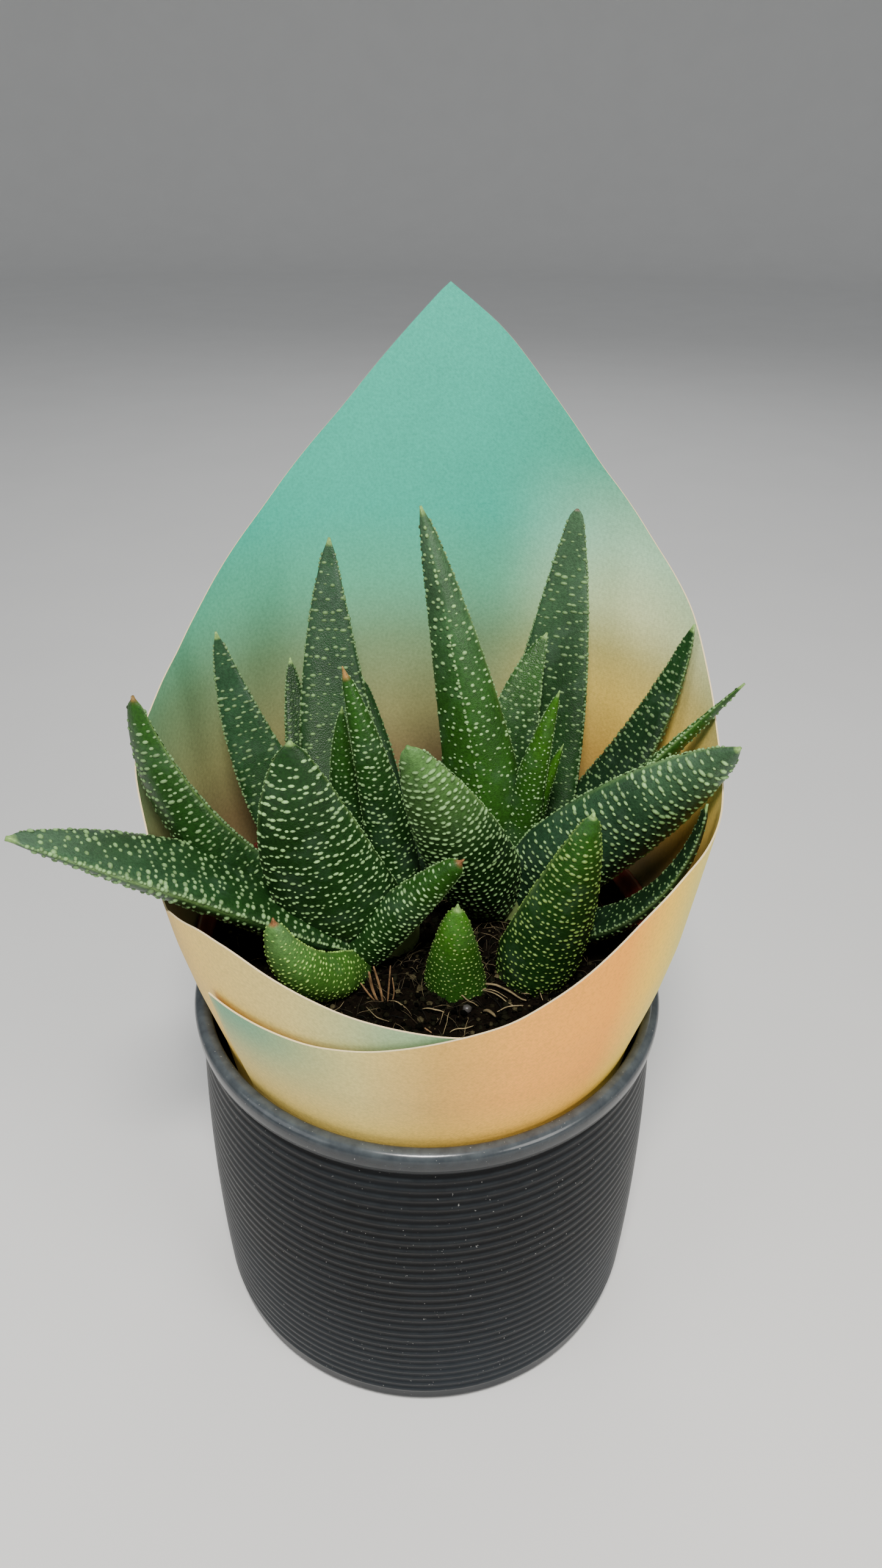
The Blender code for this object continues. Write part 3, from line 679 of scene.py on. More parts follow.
# Place of each stub, and its rise, heading, length, radius and flatness
STUBS = (
    (-10.8, -27.0, 76, 182, 11.5, 0.42, 0.35), (-10.0, -27.4, 82, 185, 13.0, 0.34, 0.4),
    (-8.9, -27.2, 86, 10, 13.0, 0.24, 0.6), (-8.5, -27.4, 80, 30, 9.0, 0.18, 0.9),
    (-11.4, -26.6, 60, 190, 8.0, 0.3, 0.5), (0.6, -33.0, 25, 285, 5.5, 0.45, 0.5))
STUB_ROOT = 1.5
STONE_PLACE = (10.5, -30.2)
STONE_SIZE = 1.5
STONE_RISE = 0.9
STONE_FLATNESS = 0.85

PEAT = (0.0075, 0.0076, 0.004)
BARK = (0.11, 0.093, 0.046)
PEAT_WET = (0.0015, 0.001, 0.0007)
PEAT_DAMP = (0.010, 0.007, 0.004)
STRAND = (0.30, 0.235, 0.12)
STALK = (0.32, 0.19, 0.09)
STONE_DARK = (0.03, 0.028, 0.027)
STONE_PALE = (0.09, 0.085, 0.08)


def soil_swell(x, y):
    """Height of the soil without its crumbs."""
    share = math.hypot(x, y) / GROW_RIM
    swell = (1.3 * noise.noise(Vector((x, y, SOIL_HEIGHT)) * 0.14)
             + 0.9 * noise.noise(Vector((x, y, 40)) * 0.35))
    return SOIL_HEIGHT + SOIL_MOUND * (1 - share) + swell


def soil_top(x, y):
    """Height of the soil with its lumps."""
    return soil_swell(x, y) + 0.9 * noise.noise(Vector((x, y, 80)) * 0.8)


def black_peat():
    skin = Skin("black_peat", 0.95, 0.05)
    lump = skin.noise(260.0, 6.0, 0.7)
    skin.coat(skin.scaled(lump, 0.35, 0.7, 0, 1), PEAT_WET, PEAT_DAMP)
    skin.bump(skin.math("ADD", lump, skin.cells(900.0)), 0.0009, 0.9)
    return skin


def peat_crumbs():
    skin = Skin("peat_crumbs", 0.95, 0.04)
    tone = skin.painted("tone")
    lump = skin.noise(700.0, 4.0, 0.7)
    skin.set("Base Color", skin.shaded(tone, skin.scaled(lump, 0.3, 0.7, 0.4, 1.4)))
    skin.bump(lump, 0.0004, 0.8)
    return skin


def dry_stalk(name):
    skin = Skin(name, 0.8, 0.25)
    tone = skin.painted("tone")
    streak = skin.noise(500.0, 4.0, 0.6)
    skin.set("Base Color", skin.shaded(tone, skin.scaled(streak, 0.3, 0.7, 0.35, 1.3)))
    skin.bump(streak, 0.0002, 0.6)
    return skin


def grey_stone():
    skin = Skin("small_stone", 0.35, 0.5)
    skin.coat(skin.noise(700.0), STONE_DARK, STONE_PALE)
    return skin


def soil():
    angle = ring_angles(SOIL_SEGMENTS)
    points = [(radius * math.cos(a), radius * math.sin(a), height)
              for radius, height in SOIL_SIDE for a in angle]
    for share in np.linspace(1.0, 0.02, SOIL_RINGS):
        for a in angle:
            x, y = SOIL_RADIUS * share * math.cos(a), SOIL_RADIUS * share * math.sin(a)
            points.append((x, y, soil_top(x, y)))
    rings = len(SOIL_SIDE) + SOIL_RINGS
    faces = grid_faces(rings, SOIL_SEGMENTS) + end_faces(rings, SOIL_SEGMENTS)
    body = mesh_object("peat_soil", points, faces, [black_peat()])
    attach(body, "root")
    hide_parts("potting_soil")


def lump_of(draw, place, size, flat=0.75):
    """Points and faces of one lump: twenty triangles, with the corners pulled in and out."""
    t = (1 + 5 ** 0.5) / 2
    points = np.array([(-1, t, 0), (1, t, 0), (-1, -t, 0), (1, -t, 0), (0, -1, t), (0, 1, t),
                       (0, -1, -t), (0, 1, -t), (t, 0, -1), (t, 0, 1), (-t, 0, -1), (-t, 0, 1)])
    points = points / np.linalg.norm(points[0]) * draw.uniform(0.7, 1.2, (LUMP_CORNERS, 3))
    spin = draw.uniform(0, 2 * math.pi)
    turn = np.array([(math.cos(spin), -math.sin(spin), 0), (math.sin(spin), math.cos(spin), 0),
                     (0, 0, flat)])
    faces = [(0, 11, 5), (0, 5, 1), (0, 1, 7), (0, 7, 10), (0, 10, 11), (1, 5, 9), (5, 11, 4),
             (11, 10, 2), (10, 7, 6), (7, 1, 8), (3, 9, 4), (3, 4, 2), (3, 2, 6), (3, 6, 8),
             (3, 8, 9), (4, 9, 5), (2, 4, 11), (6, 2, 10), (8, 6, 7), (9, 8, 1)]
    return points @ turn.T * size + place, faces


def joined(parts):
    """Points and faces of several shapes as one."""
    points, faces, start = [], [], 0
    for part_points, part_faces in parts:
        points.append(part_points)
        faces += [tuple(i + start for i in face) for face in part_faces]
        start += len(part_points)
    return np.concatenate(points), faces


def lay(name, shapes, skin, tones=None, smooth=True):
    """Lays (points, faces) shapes on the soil as one piece, each in its own tone."""
    points, faces = joined(shapes)
    piece = mesh_object(name, points, faces, [skin], smooth=smooth)
    if tones is not None:
        counts = [len(shape_points) for shape_points, shape_faces in shapes]
        paint(piece, "tone", np.repeat(tones, counts, 0))
    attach(piece, "root")


def crumbs(draw):
    shapes = []
    tones = []
    for _ in range(CRUMBS):
        radius = CRUMB_REACH * math.sqrt(draw.uniform(0, 1))
        angle = draw.uniform(0, 2 * math.pi)
        x, y = radius * math.cos(angle), radius * math.sin(angle)
        size = 0.25 + 0.85 * draw.uniform(0, 1) ** 4
        height = soil_top(x, y) + size * draw.uniform(0, 0.9)
        shapes.append(lump_of(draw, (x, y, height), size))
        warm = draw.uniform(0, 1) ** 14
        dark = draw.uniform(0.1, 1.3) ** 2
        tones.append(np.array(PEAT) * dark * (1 - warm) + np.array(BARK) * warm)
    lay("soil_crumbs", shapes, peat_crumbs(), tones, smooth=False)


def strand(line, radius, sides=6, flat=1.0, facing=(0.13, 0.2, 1.0)):
    """Points and faces of a thin closed tube along a line, tapering at its ends."""
    line = np.asarray(line, dtype=float)
    along = np.gradient(line, axis=0)
    along /= np.linalg.norm(along, axis=1)[:, None]
    side = np.cross(along, facing)
    side /= np.linalg.norm(side, axis=1)[:, None]
    over = np.cross(side, along)
    share = np.linspace(0, 1, len(line))
    width = radius * (0.35 + 0.65 * np.sin(math.pi * np.clip(share, 0.02, 0.98)) ** 0.4)
    angle = ring_angles(sides)
    rings = (line[:, None] + side[:, None] * (np.cos(angle) * width[:, None])[:, :, None]
             + over[:, None] * (np.sin(angle) * width[:, None] * flat)[:, :, None])
    faces = grid_faces(len(line), sides, flip=True)
    faces += [face[::-1] for face in end_faces(len(line), sides)]
    return rings.reshape(-1, 3), faces


def lying(draw, start, heading, length, radius, bow, steps=14, sides=6):
    """A strand that follows the soil, bowed to one side and a little kinked."""
    x, y = start
    turn = math.radians(heading - bow / 2)
    line = []
    for t in np.linspace(0, 1, steps):
        line.append((x, y, soil_swell(x, y) + radius + 0.7 + 2.4 * t * (1 - t)))
        x += length / steps * math.cos(turn)
        y += length / steps * math.sin(turn)
        turn += math.radians(bow / steps + draw.normal(0, 3))
    return strand(line, radius, sides)


def root_fibres(draw):
    shapes = [lying(draw, *place_and_shape) for place_and_shape in LONG_STRANDS]
    tones = [np.array(STRAND) * draw.uniform(0.6, 1.1) for _ in LONG_STRANDS]
    for _ in range(FIBRES):
        radius = draw.uniform(10, 53)
        angle = draw.uniform(0, 2 * math.pi)
        start = (radius * math.cos(angle), radius * math.sin(angle))
        heading = draw.uniform(0, 360)
        length = draw.uniform(2, 9)
        thick = draw.uniform(0.04, 0.10)
        bow = draw.uniform(-25, 25)
        shapes.append(lying(draw, start, heading, length, thick, bow, 8, 4))
        tones.append(np.array(STRAND) * draw.uniform(0.05, 1.0) ** 2.6)
    lay("root_fibres", shapes, dry_stalk("pale_fibre"), tones)


def dry_stubs(draw):
    shapes = []
    for x, y, rise, heading, length, radius, flat in STUBS:
        turn, lift = math.radians(heading), math.radians(rise)
        way = np.array([math.cos(lift) * math.cos(turn), math.cos(lift) * math.sin(turn),
                        math.sin(lift)])
        start = np.array([x, y, soil_top(x, y) - STUB_ROOT])
        bend = np.array([draw.uniform(-0.7, 0.7), draw.uniform(-0.5, 0.5), 0.0])
        line = [start + way * length * t + bend * math.sin(4 * t) for t in np.linspace(0, 1, 11)]
        shapes.append(strand(line, radius, 6, flat, (0.1, 1.0, 0.2)))
    lay("dry_stubs", shapes, dry_stalk("dry_stalk"), [STALK] * len(shapes))


def small_stone(draw):
    place = (*STONE_PLACE, soil_top(*STONE_PLACE) + STONE_RISE)
    lay("soil_stone", [lump_of(draw, place, STONE_SIZE, STONE_FLATNESS)], grey_stone())


soil()
crumbs(np.random.default_rng(11))
litter_draw = np.random.default_rng(5)
root_fibres(litter_draw)
dry_stubs(litter_draw)
small_stone(litter_draw)


# Stems
#
# Each rosette stands on a short pale stem, which is rooted in the soil and mostly hidden under
# the leaves' clasping bases.
STEMS = {"left": (-11.0, -3.0, 9.0, 129.0), "right": (20.0, 13.0, 9.5, 130.0)}  # x, y, radius, top
STEM_ROOT = 98.0
STEM_SEGMENTS = 40
RIND_DARK = (0.09, 0.14, 0.035)
RIND_PALE = (0.19, 0.25, 0.09)


def stem_rind():
    skin = Skin("stem_rind", 0.6, 0.4)
    ring = skin.noise(150.0, 3.0, 0.5, skin.stretched(0.4, 0.4, 3.0))
    skin.coat(ring, RIND_DARK, RIND_PALE)
    skin.bump(ring, 0.0005, 0.6)
    return skin


def rosette_stem(side, x, y, radius, top, rind):
    line = [(radius * 0.55, STEM_ROOT), (radius * 0.8, STEM_ROOT + 4),
            (radius * 0.97, STEM_ROOT + 12), (radius, STEM_ROOT + 15),
            (radius * 0.98, top - radius * 0.62), (radius * 0.88, top - radius * 0.3),
            (radius * 0.68, top - radius * 0.1), (radius * 0.4, top)]
    stem = turned("rosette_stem_" + side, line, STEM_SEGMENTS, [rind])
    for vert in stem.data.vertices:
        vert.co.x += x * MM
        vert.co.y += y * MM
    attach(stem, "root")
    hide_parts("stem_" + side)


rind = stem_rind()
for side, place_and_size in STEMS.items():
    rosette_stem(side, *place_and_size, rind)


# Leaves
#
# Thick pointed leaves with a flat upper face and a keeled underside, from a base darkened with
# painted shade to a horny point. Raised pale tubercles cross both faces in rows that sag between
# the margins, and run together into bars on some leaves. A row of smaller ones makes the toothed
# margins.

# How each leaf grows: its stem, how far out on it, the height of its root, its heading, its
# rise at the root and at the tip, its sweep to one side, its roll, its length, width and
# thickness, and how long it keeps its width
Leaf = namedtuple("Leaf", "stem out root heading rise tip_rise sweep roll length width thick full")
LEAVES = {
    "leaf_heart_left": ("left", 4, 127, 139, 62, 98, 0, 141, 56, 12, 7, 1.3),
    "leaf_inner_tall": ("left", 5, 123, -10, 96, 106, 0, -66, 74, 13, 8, 1.6),
    "leaf_back_tall": ("left", 5, 124, 125, 54, 68, -38, -6, 98, 26, 9.5, 1.4),
    "leaf_broad_front": ("left", 5, 122, -132, 53, 90, 0, 52, 71, 29, 12, 2.5),
    "leaf_left_tall": ("left", 5, 123, 156, 36, 79, -16, -40, 85, 21, 8, 1.4),
    "leaf_back_dark": ("left", 5, 121, 94, 58, 60, 20, 10, 64, 18, 8, 1.5),
    "leaf_back_small": ("left", 5, 119, 137, 38, 64, -34, 0, 76, 17, 7, 1.4),
    "leaf_mid_dark": ("left", 5, 122, 66, 66, 42, -25, 0, 51, 14, 6, 1.4),
    "leaf_left_back": ("left", 5, 122, -171, 19, 88, -8, 66, 91, 20, 11, 2.4),
    "leaf_far_left": ("left", 5, 119, -160, 39.5, 31, 19, -5, 98.5, 28, 14, 2.6),
    "leaf_front_cross": (None, 0, 114.5, -22, 57, 50, 0, -95, 55, 12, 9, 2.2),
    "leaf_low_hook": (None, 0, 119.5, -120, 10, 90, -30, 75, 42, 14, 10, 1.9),
    "leaf_central_tall": ("right", 2, 127, 165, 81, 74, 0, 100, 102, 22, 12, 1.25),
    "leaf_heart_right": ("right", 3, 128, -20, 88, 75, 0, -81, 58, 11, 6, 1.3),
    "leaf_heart_small": ("right", 4, 127, 3, 84, 70, 0, -100, 42, 7.5, 5, 1.3),
    "leaf_behind_tall": ("right", 4, 125, 101, 86, 54, -60, 25, 68, 20, 8, 1.6),
    "leaf_front_blunt": ("right", 5, 120, -115, 57, 62, -16, 45, 80, 22, 12, 2.5),
    "leaf_right_tall": ("right", 5, 122, 65, 58, 76, 9, 0, 102, 26, 11, 1.6),
    "leaf_right_broad": ("right", 5, 122, -17.5, 52.5, 47.5, -26, -66, 81.5, 27, 14, 2.2),
    "leaf_right_back": ("right", 5, 123, 20.5, 40.5, 77.5, -3, 11, 85, 20, 9, 1.5),
    "leaf_right_thin": ("right", 5, 121, 8, 53.5, 53.5, -29, -17, 84.5, 15, 7, 1.3),
    "leaf_low_right": ("right", 5, 117, -50, 8, 87, 47.5, 3.5, 78.5, 15, 7, 1.6),
    "leaf_front_right": (None, 0, 110, -45, 70, 80, 8, -50, 65, 21, 14, 1.9),
    "leaf_young_front": (None, 0, 109, -118, 82, 96, 0, 20, 34, 16, 10, 1.7),
}
# These four start in the soil, at these places
LOOSE_ROOTS = {"leaf_front_cross": (-21.2, -11.9), "leaf_low_hook": (-17.5, -16.6),
               "leaf_front_right": (24.5, -13.5), "leaf_young_front": (8.0, -20.0)}
YOUNG_LEAVES = ("leaf_young_front", "leaf_low_hook", "leaf_front_right")
# These have a row of tubercles along the keel too
KEELED_LEAVES = ("leaf_central_tall", "leaf_behind_tall", "leaf_right_thin")
LEAF_RINGS = 120
LEAF_SIDES = 32
LEAF_TRIM = 0.992  # the blade is this much of its solid's length
TAPER_START = 0.12
FIRST_ROW = 0.05
LAST_ROW = 0.955
MARGIN = 0.985  # how far out across the leaf the tubercles of its margins stand
# Each tubercle is a dome of two rings and a peak, dark at its foot and pale at the top
DOME_SIDES = 7
DOME_CORNERS = 2 * DOME_SIDES + 1
DOME_SHADE = [0.28] * DOME_SIDES + [0.95] * DOME_SIDES + [1.15]

DEEP = (0.008, 0.035, 0.006)
# Darker green, painted shade on the leaves lying in shadow behind and below the others
DEEP_SHADED = (0.007, 0.024, 0.008)
# Grey-green that stands partly for a painted bluish sheen
SHEEN_GREY = (0.018, 0.055, 0.023)
BLOOM = (0.038, 0.088, 0.040)
FRESH = (0.017, 0.068, 0.007)
BRIGHT = (0.036, 0.125, 0.007)
PALE = (0.075, 0.17, 0.045)
LIME = (0.042, 0.125, 0.016)
HORN = (0.20, 0.34, 0.10)
RUST = (0.26, 0.12, 0.05)
AMBER = (0.33, 0.185, 0.055)
UMBER = (0.17, 0.105, 0.03)
DEAD = (0.12, 0.07, 0.045)
TUBERCLE = (0.265, 0.48, 0.18)
YOUNG_TUBERCLE = (0.27, 0.47, 0.09)
TUBERCLE_SHADE = (0.10, 0.20, 0.06)
# Blue-grey of the leaves' wax bloom, partly a painted sheen
WAX_AND_SHEEN = (0.16, 0.24, 0.19)

# How each leaf is marked: colour of the blade and of its end, space between rows, space
# between tubercles, their size, how far they run together, how many there are, the colour of
# the point, how wide the end is against the middle, how pale the tubercles are, lowered as
# painted shade on leaves in shadow, how sharp the keel is, and the length of the point
Look = namedtuple("Look", "blade end row gap dot run fill point blunt glow keel spine",
                  defaults=(1.0, 0.22, 1.5))
LOOKS = {
    "leaf_heart_left": (DEEP, FRESH, 1.7, 1.0, 0.42, 0.3, 1.0, HORN, 0.0, 0.85),
    "leaf_inner_tall": (DEEP, FRESH, 1.8, 1.05, 0.46, 0.6, 0.97, AMBER, 0.05, 0.9, 0.2, 2.6),
    "leaf_back_tall": (DEEP, SHEEN_GREY, 2.4, 1.5, 0.50, 0.8, 0.8, HORN, 0.0, 0.5),
    "leaf_broad_front": (DEEP, DEEP, 2.5, 1.15, 0.48, 0.8, 1.0, HORN, 0.1, 1.0, 0.22, 0.9),
    "leaf_left_tall": (DEEP, SHEEN_GREY, 2.3, 1.4, 0.48, 0.9, 0.8, HORN, 0.0, 0.55),
    "leaf_back_dark": (DEEP_SHADED, DEEP, 2.4, 1.5, 0.42, 0.4, 0.8, HORN, 0.0, 0.5),
    "leaf_back_small": (DEEP, DEEP, 1.9, 1.1, 0.44, 0.5, 0.97, HORN, 0.0, 0.55),
    "leaf_mid_dark": (DEEP_SHADED, DEEP, 2.2, 1.4, 0.42, 0.4, 0.85, HORN, 0.0, 0.55),
    "leaf_left_back": (DEEP, FRESH, 2.1, 1.3, 0.50, 0.7, 0.95, UMBER, 0.16, 0.62, 0.4, 1.2),
    "leaf_far_left": (DEEP, BLOOM, 2.3, 1.6, 0.66, 0.3, 0.87, HORN, 0.1, 0.75, 0.4),
    "leaf_front_cross": (DEEP, FRESH, 1.6, 1.1, 0.44, 0.8, 0.97, RUST, 0.32, 1.0),
    "leaf_low_hook": (LIME, PALE, 1.45, 0.95, 0.34, 0.7, 0.95, RUST, 0.22, 1.3),
    "leaf_central_tall": (FRESH, BLOOM, 2.2, 1.35, 0.52, 0.5, 0.87, HORN, 0.0, 0.85, 0.6),
    "leaf_heart_right": (FRESH, BRIGHT, 1.7, 1.0, 0.42, 0.2, 1.0, HORN, 0.0, 0.9),
    "leaf_heart_small": (FRESH, BRIGHT, 1.6, 1.0, 0.40, 0.1, 1.0, HORN, 0.0, 0.9),
    "leaf_behind_tall": (DEEP, FRESH, 2.0, 1.25, 0.48, 0.3, 0.95, HORN, 0.05, 0.65),
    "leaf_front_blunt": (DEEP, PALE, 2.1, 1.25, 0.52, 0.8, 0.95, PALE, 0.18, 0.9, 0.5, 0.6),
    "leaf_right_tall": (DEEP, BLOOM, 2.3, 1.5, 0.50, 0.9, 0.82, DEAD, 0.12, 0.5, 0.2, 0.4),
    "leaf_right_broad": (SHEEN_GREY, BLOOM, 2.4, 1.4, 0.58, 0.9, 0.92, HORN, 0.05, 0.95, 0.2, 0.9),
    "leaf_right_back": (DEEP_SHADED, DEEP, 2.1, 1.3, 0.50, 0.9, 0.95, HORN, 0.05, 0.42),
    "leaf_right_thin": (DEEP, FRESH, 2.1, 1.25, 0.48, 0.3, 0.9, HORN, 0.0, 0.8),
    "leaf_low_right": (DEEP_SHADED, DEEP_SHADED, 2.2, 1.3, 0.42, 0.5, 0.9, HORN, 0.2, 0.45),
    "leaf_front_right": (DEEP, FRESH, 1.7, 1.1, 0.44, 0.8, 0.95, HORN, 0.1, 0.72, 0.2, 1.2),
    "leaf_young_front": (FRESH, BRIGHT, 1.3, 0.85, 0.31, 0.4, 0.95, HORN, 0.2, 0.8),
}


def fullness(leaf, t):
    """Share of the full width that the leaf still has at t along it."""
    taper = np.maximum(0, 1 - np.maximum(0, (t - TAPER_START) / (1 - TAPER_START)) ** leaf.full)
    return 0.04 + 0.96 * taper ** 0.85


class Blade:
    """The smooth surface of one leaf, which can be asked for points anywhere on it."""

    def __init__(self, leaf, root, look):
        self.t = t = np.linspace(0, 1, LEAF_RINGS + 1)
        rise = np.radians(leaf.rise + (leaf.tip_rise - leaf.rise) * t)
        turn = np.radians(leaf.heading + leaf.sweep * t)
        along = np.stack([np.cos(rise) * np.cos(turn), np.cos(rise) * np.sin(turn), np.sin(rise)], 1)
        step = along[1:] + along[:-1]
        step *= (leaf.length * LEAF_TRIM / LEAF_RINGS / np.linalg.norm(step, axis=1))[:, None]
        self.centre = np.vstack([root, root + np.cumsum(step, 0)])
        flat = np.stack([-np.sin(turn), np.cos(turn), 0 * t], 1)
        over = np.cross(along, flat)
        roll = math.radians(leaf.roll)
        self.across = flat * math.cos(roll) + over * math.sin(roll)
        self.up = over * math.cos(roll) - flat * math.sin(roll)
        base = 0.62 + 0.38 * np.minimum(1, t / 0.25) ** 0.7
        point = 1 - 0.4 * np.exp(-((1 - t) * leaf.length / 2.4) ** 2)
        self.half = leaf.width / 2 * base * fullness(leaf, t) * point
        cap = look.blunt * leaf.width / 2
        last = np.clip(1 - ((1 - t) * leaf.length - look.spine) / (1.3 * cap + 0.01), 0, 1)
        rounded = np.sqrt(1 - last ** 2)
        self.half = np.hypot(self.half, cap * rounded)
        end = np.hypot((1 - t ** 2) ** 0.8, np.maximum(0.10, 0.8 * look.blunt * rounded))
        self.depth = leaf.thick * (0.75 + 0.25 * np.minimum(1, t / 0.2)) * end
        self.sharp = look.keel

    def at(self, t, u, top):
        """Points at t along the leaf and u across it, -1 to 1, on the upper face or under it."""
        half, depth = [np.interp(t, self.t, values) for values in (self.half, self.depth)]
        centre, across, up = [np.stack([np.interp(t, self.t, part[:, k]) for k in range(3)], -1)
                              for part in (self.centre, self.across, self.up)]
        round_off = np.sqrt(np.maximum(0, 1 - u * u))
        dished = 0.36 * round_off * (1 - 0.45 * (1 - u * u))
        keeled = 0.64 * ((1 - self.sharp) * round_off + self.sharp * (1 - np.abs(u) ** 1.35))
        lift = np.where(top, dished, -keeled) * depth
        return centre + across * (u * half)[..., None] + up * lift[..., None]

    def frame_at(self, t, u, top):
        """Point, way across, way along and outward normal."""
        u = np.clip(u, -MARGIN, MARGIN)
        here = self.at(t, u, top)
        across = self.at(t, u + 0.01, top) - self.at(t, u - 0.01, top)
        along = self.at(np.minimum(1, t + 0.01), u, top) - self.at(t - 0.01, u, top)
        across /= np.linalg.norm(across, axis=1)[:, None] + 1e-9
        out = np.cross(along, across)
        out *= np.where(top, 1.0, -1.0)[:, None]
        out /= np.linalg.norm(out, axis=1)[:, None] + 1e-9
        return here, across, np.cross(out, across), out


# A mark is the place of a tubercle along and across the leaf, whether it is on the upper face,
# and its half width, half length and height
def face_marks(draw, leaf, look, top):
    """Marks in rows that sag between the margins, denser in some patches."""
    found = []
    shift = draw.uniform(0, 1)
    for k in range(int(leaf.length * 0.93 / look.row)):
        t_row = FIRST_ROW + (k + shift) * look.row / leaf.length
        if t_row > LAST_ROW:
            continue
        half = leaf.width / 2 * fullness(leaf, t_row)
        count = max(1, int(2 * half / look.gap))
        wave = draw.uniform(2.5, 5.0)
        phase = draw.uniform(0, 6.28)
        for j in range(count):
            share = (j + 0.5 + draw.uniform(-0.22, 0.22)) / count
            u = 0.5 * math.cos(math.pi * (1 - share)) + 0.5 * (2 * share - 1)
            patch = 0.5 + 0.5 * math.sin(wave * 3.0 * u + phase)
            if draw.uniform(0, 1) > look.fill * (0.55 + 0.75 * patch) + 0.25 * (look.fill > 0.9):
                continue
            sag = 0.45 * look.row * (1 - u * u)
            sway = 0.16 * look.row * math.sin(1.7 * wave * u + phase)
            stray = look.row * (0.24 - 0.16 * t_row) * draw.normal(0, 1)
            t = t_row + (sway + stray - sag) / leaf.length
            size = look.dot * draw.uniform(0.6, 1.25) * min(1.0, 0.35 + half / 6)
            size *= 0.72 + 0.4 * t_row
            late = look.run * (0.45 + 0.55 * t_row)
            wide = size * (1 + late * draw.uniform(0.2, 1.3))
            found.append((t, u, top, wide, size * draw.uniform(0.8, 1.05), 0.62 * size))
    return found


def line_marks(draw, leaf, look, u, top, space):
    """Smaller marks in one line along the leaf, on a margin or on the keel."""
    found = []
    for t in np.arange(0.12, 0.965, space / leaf.length):
        if draw.uniform(0, 1) > 0.85:
            continue
        size = (0.41 + 0.12 * draw.uniform(-1, 1)) * (0.6 + 0.4 * look.dot / 0.44)
        found.append((t + draw.normal(0, 0.12) * space / leaf.length, u, top, size * 0.9,
                      size * 1.15, size * 0.8))
    return found


def leaf_marks(draw, leaf, look, keeled):
    marks = face_marks(draw, leaf, look, True) + face_marks(draw, leaf, look, False)
    lines = [(MARGIN, True, 1.05), (-MARGIN, True, 1.05)]
    if keeled:
        lines.append((0.0, False, 1.6))
    for u, top, space in lines:
        marks += line_marks(draw, leaf, look, u, top, space)
    return np.array(marks, dtype=float)


def domes(blade, marks):
    """Points and faces of one low dome for each mark."""
    t, u, top, wide, long, high = marks.T
    here, across, along, out = blade.frame_at(np.clip(t, 0.02, 0.975), u, top > 0.5)
    angle = ring_angles(DOME_SIDES)
    rings = []
    for share, lift in ((1.0, -0.18), (0.66, 0.62)):
        reach_across = (wide[:, None] * share * np.cos(angle))[:, :, None]
        reach_along = (long[:, None] * share * np.sin(angle))[:, :, None]
        rings.append(here[:, None] + across[:, None] * reach_across
                     + along[:, None] * reach_along + out[:, None] * (high * lift)[:, None, None])
    peak = here + out * high[:, None]
    points = np.concatenate([rings[0], rings[1], peak[:, None]], 1).reshape(-1, 3)
    faces = []
    for start in range(0, len(points), DOME_CORNERS):
        upper = start + DOME_SIDES
        for k in range(DOME_SIDES):
            n = (k + 1) % DOME_SIDES
            faces.append((start + k, start + n, upper + n, upper + k))
            faces.append((upper + k, upper + n, upper + DOME_SIDES))
    return points, faces


def blade_tones(look, length, t, u):
    """Colour of the skin: darker at the root with painted shade, its own at the end, pale along
    the margins.
    """
    t, u = t[:, None], u[:, None]
    blade, end, point = (np.array(c) for c in (look.blade, look.end, look.point))
    late = step_up(t, 0.45, 0.95)
    tone = blade * (1 - late) + end * late
    # Painted shade: the skin darkens toward the root, down among the other leaves
    tone = tone * (0.62 + 0.38 * step_up(t, 0.0, 0.3))
    rim = step_up(np.abs(u), 0.975, 1.0) * step_up(t, 0.3, 0.8) * 0.5
    tone = tone * (1 - rim) + np.array(HORN) * rim
    tip = step_up(t * length, length - 1.38 * look.spine, length - 0.85 * look.spine)
    return tone * (1 - tip) + point * tip


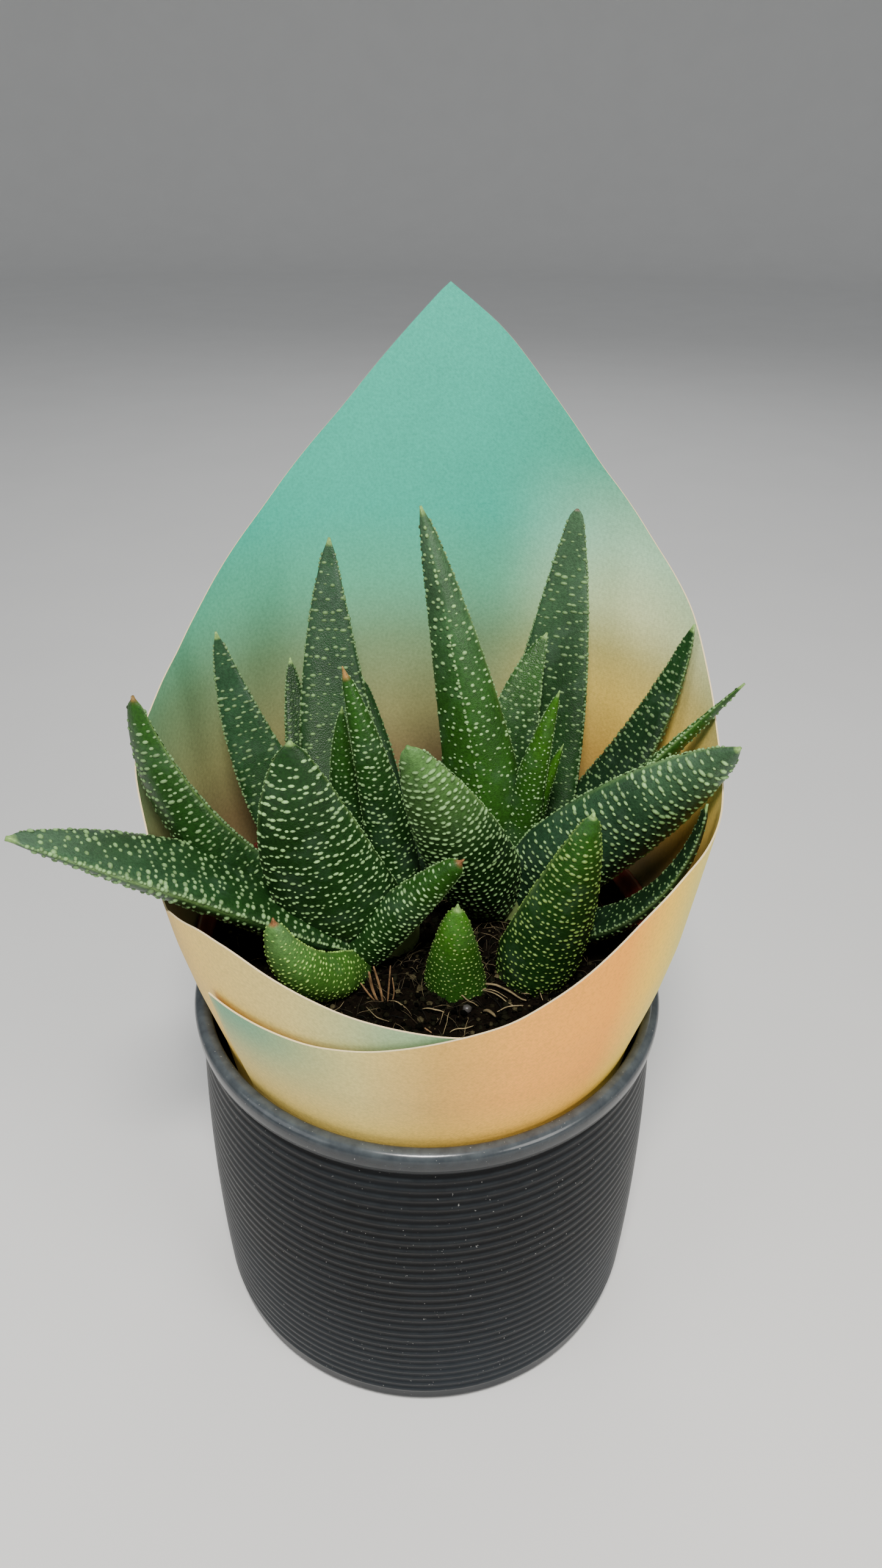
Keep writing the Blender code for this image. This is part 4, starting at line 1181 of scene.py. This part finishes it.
def waxy_leaf():
    skin = Skin("waxy_leaf", 0.42, 0.24)
    tone = skin.painted("tone")
    cloud = skin.scaled(skin.noise(70.0, 3.0), 0.3, 0.7, 0.78, 1.25)
    fleck = skin.scaled(skin.noise(1500.0, 2.0), 0.3, 0.7, 0.75, 1.25)
    leaf_tone = skin.shaded(tone, skin.math("MULTIPLY", cloud, fleck))
    # Patches of wax bloom, partly a painted sheen
    skin.coat(skin.scaled(skin.noise(110.0, 4.0, 0.6), 0.52, 0.75, 0.0, 0.12), leaf_tone, WAX_AND_SHEEN)
    skin.set("Roughness", skin.scaled(skin.noise(240.0, 3.0), 0.3, 0.7, 0.32, 0.46))
    skin.bump(skin.cells(2600.0), 0.0001, 0.5)
    return skin


def pale_tubercle():
    skin = Skin("pale_tubercle", 0.55, 0.35)
    shade = skin.scaled(skin.noise(900.0, 2.0), 0.45, 0.75, 0.0, 0.6)
    skin.coat(shade, skin.painted("tone"), TUBERCLE_SHADE)
    return skin


def leaf_root(name, leaf):
    if leaf.stem is None:
        return np.array((*LOOSE_ROOTS[name], leaf.root), dtype=float)
    x, y = STEMS[leaf.stem][:2]
    turn = math.radians(leaf.heading)
    return np.array((x + leaf.out * math.cos(turn), y + leaf.out * math.sin(turn), leaf.root))


def leaf_piece(name, draw, skins):
    leaf, look = Leaf(*LEAVES[name]), Look(*LOOKS[name])
    blade = Blade(leaf, leaf_root(name, leaf), look)
    angle = ring_angles(LEAF_SIDES)
    rings = LEAF_RINGS + 1
    t = np.repeat(blade.t, LEAF_SIDES)
    u = np.tile(np.cos(angle), rings)
    top = np.tile(np.sin(angle) > 0, rings)
    points = blade.at(t, u, top)
    faces = grid_faces(rings, LEAF_SIDES) + end_faces(rings, LEAF_SIDES)
    marks = leaf_marks(draw, leaf, look, name in KEELED_LEAVES)
    # The tubercles' paleness, lowered as painted shade on leaves in shadow
    light = np.outer(draw.uniform(0.6, 1.2, len(marks)) * look.glow, DOME_SHADE).ravel()
    pale = YOUNG_TUBERCLE if name in YOUNG_LEAVES else TUBERCLE
    tones = [blade_tones(look, leaf.length, t, u), np.array(pale) * light[:, None]]
    dome_points, dome_faces = domes(blade, marks)
    skin_of_face = [0] * len(faces) + [1] * len(dome_faces)
    all_points, all_faces = joined([(points, faces), (dome_points, dome_faces)])
    piece = mesh_object(name.replace("leaf_", "blade_"), all_points, all_faces, skins, skin_of_face)
    paint(piece, "tone", np.concatenate(tones))
    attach(piece, "root")
    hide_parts(name)


leaf_skins = [waxy_leaf(), pale_tubercle()]
for seed, name in enumerate(LEAVES):
    leaf_piece(name, np.random.default_rng(seed), leaf_skins)
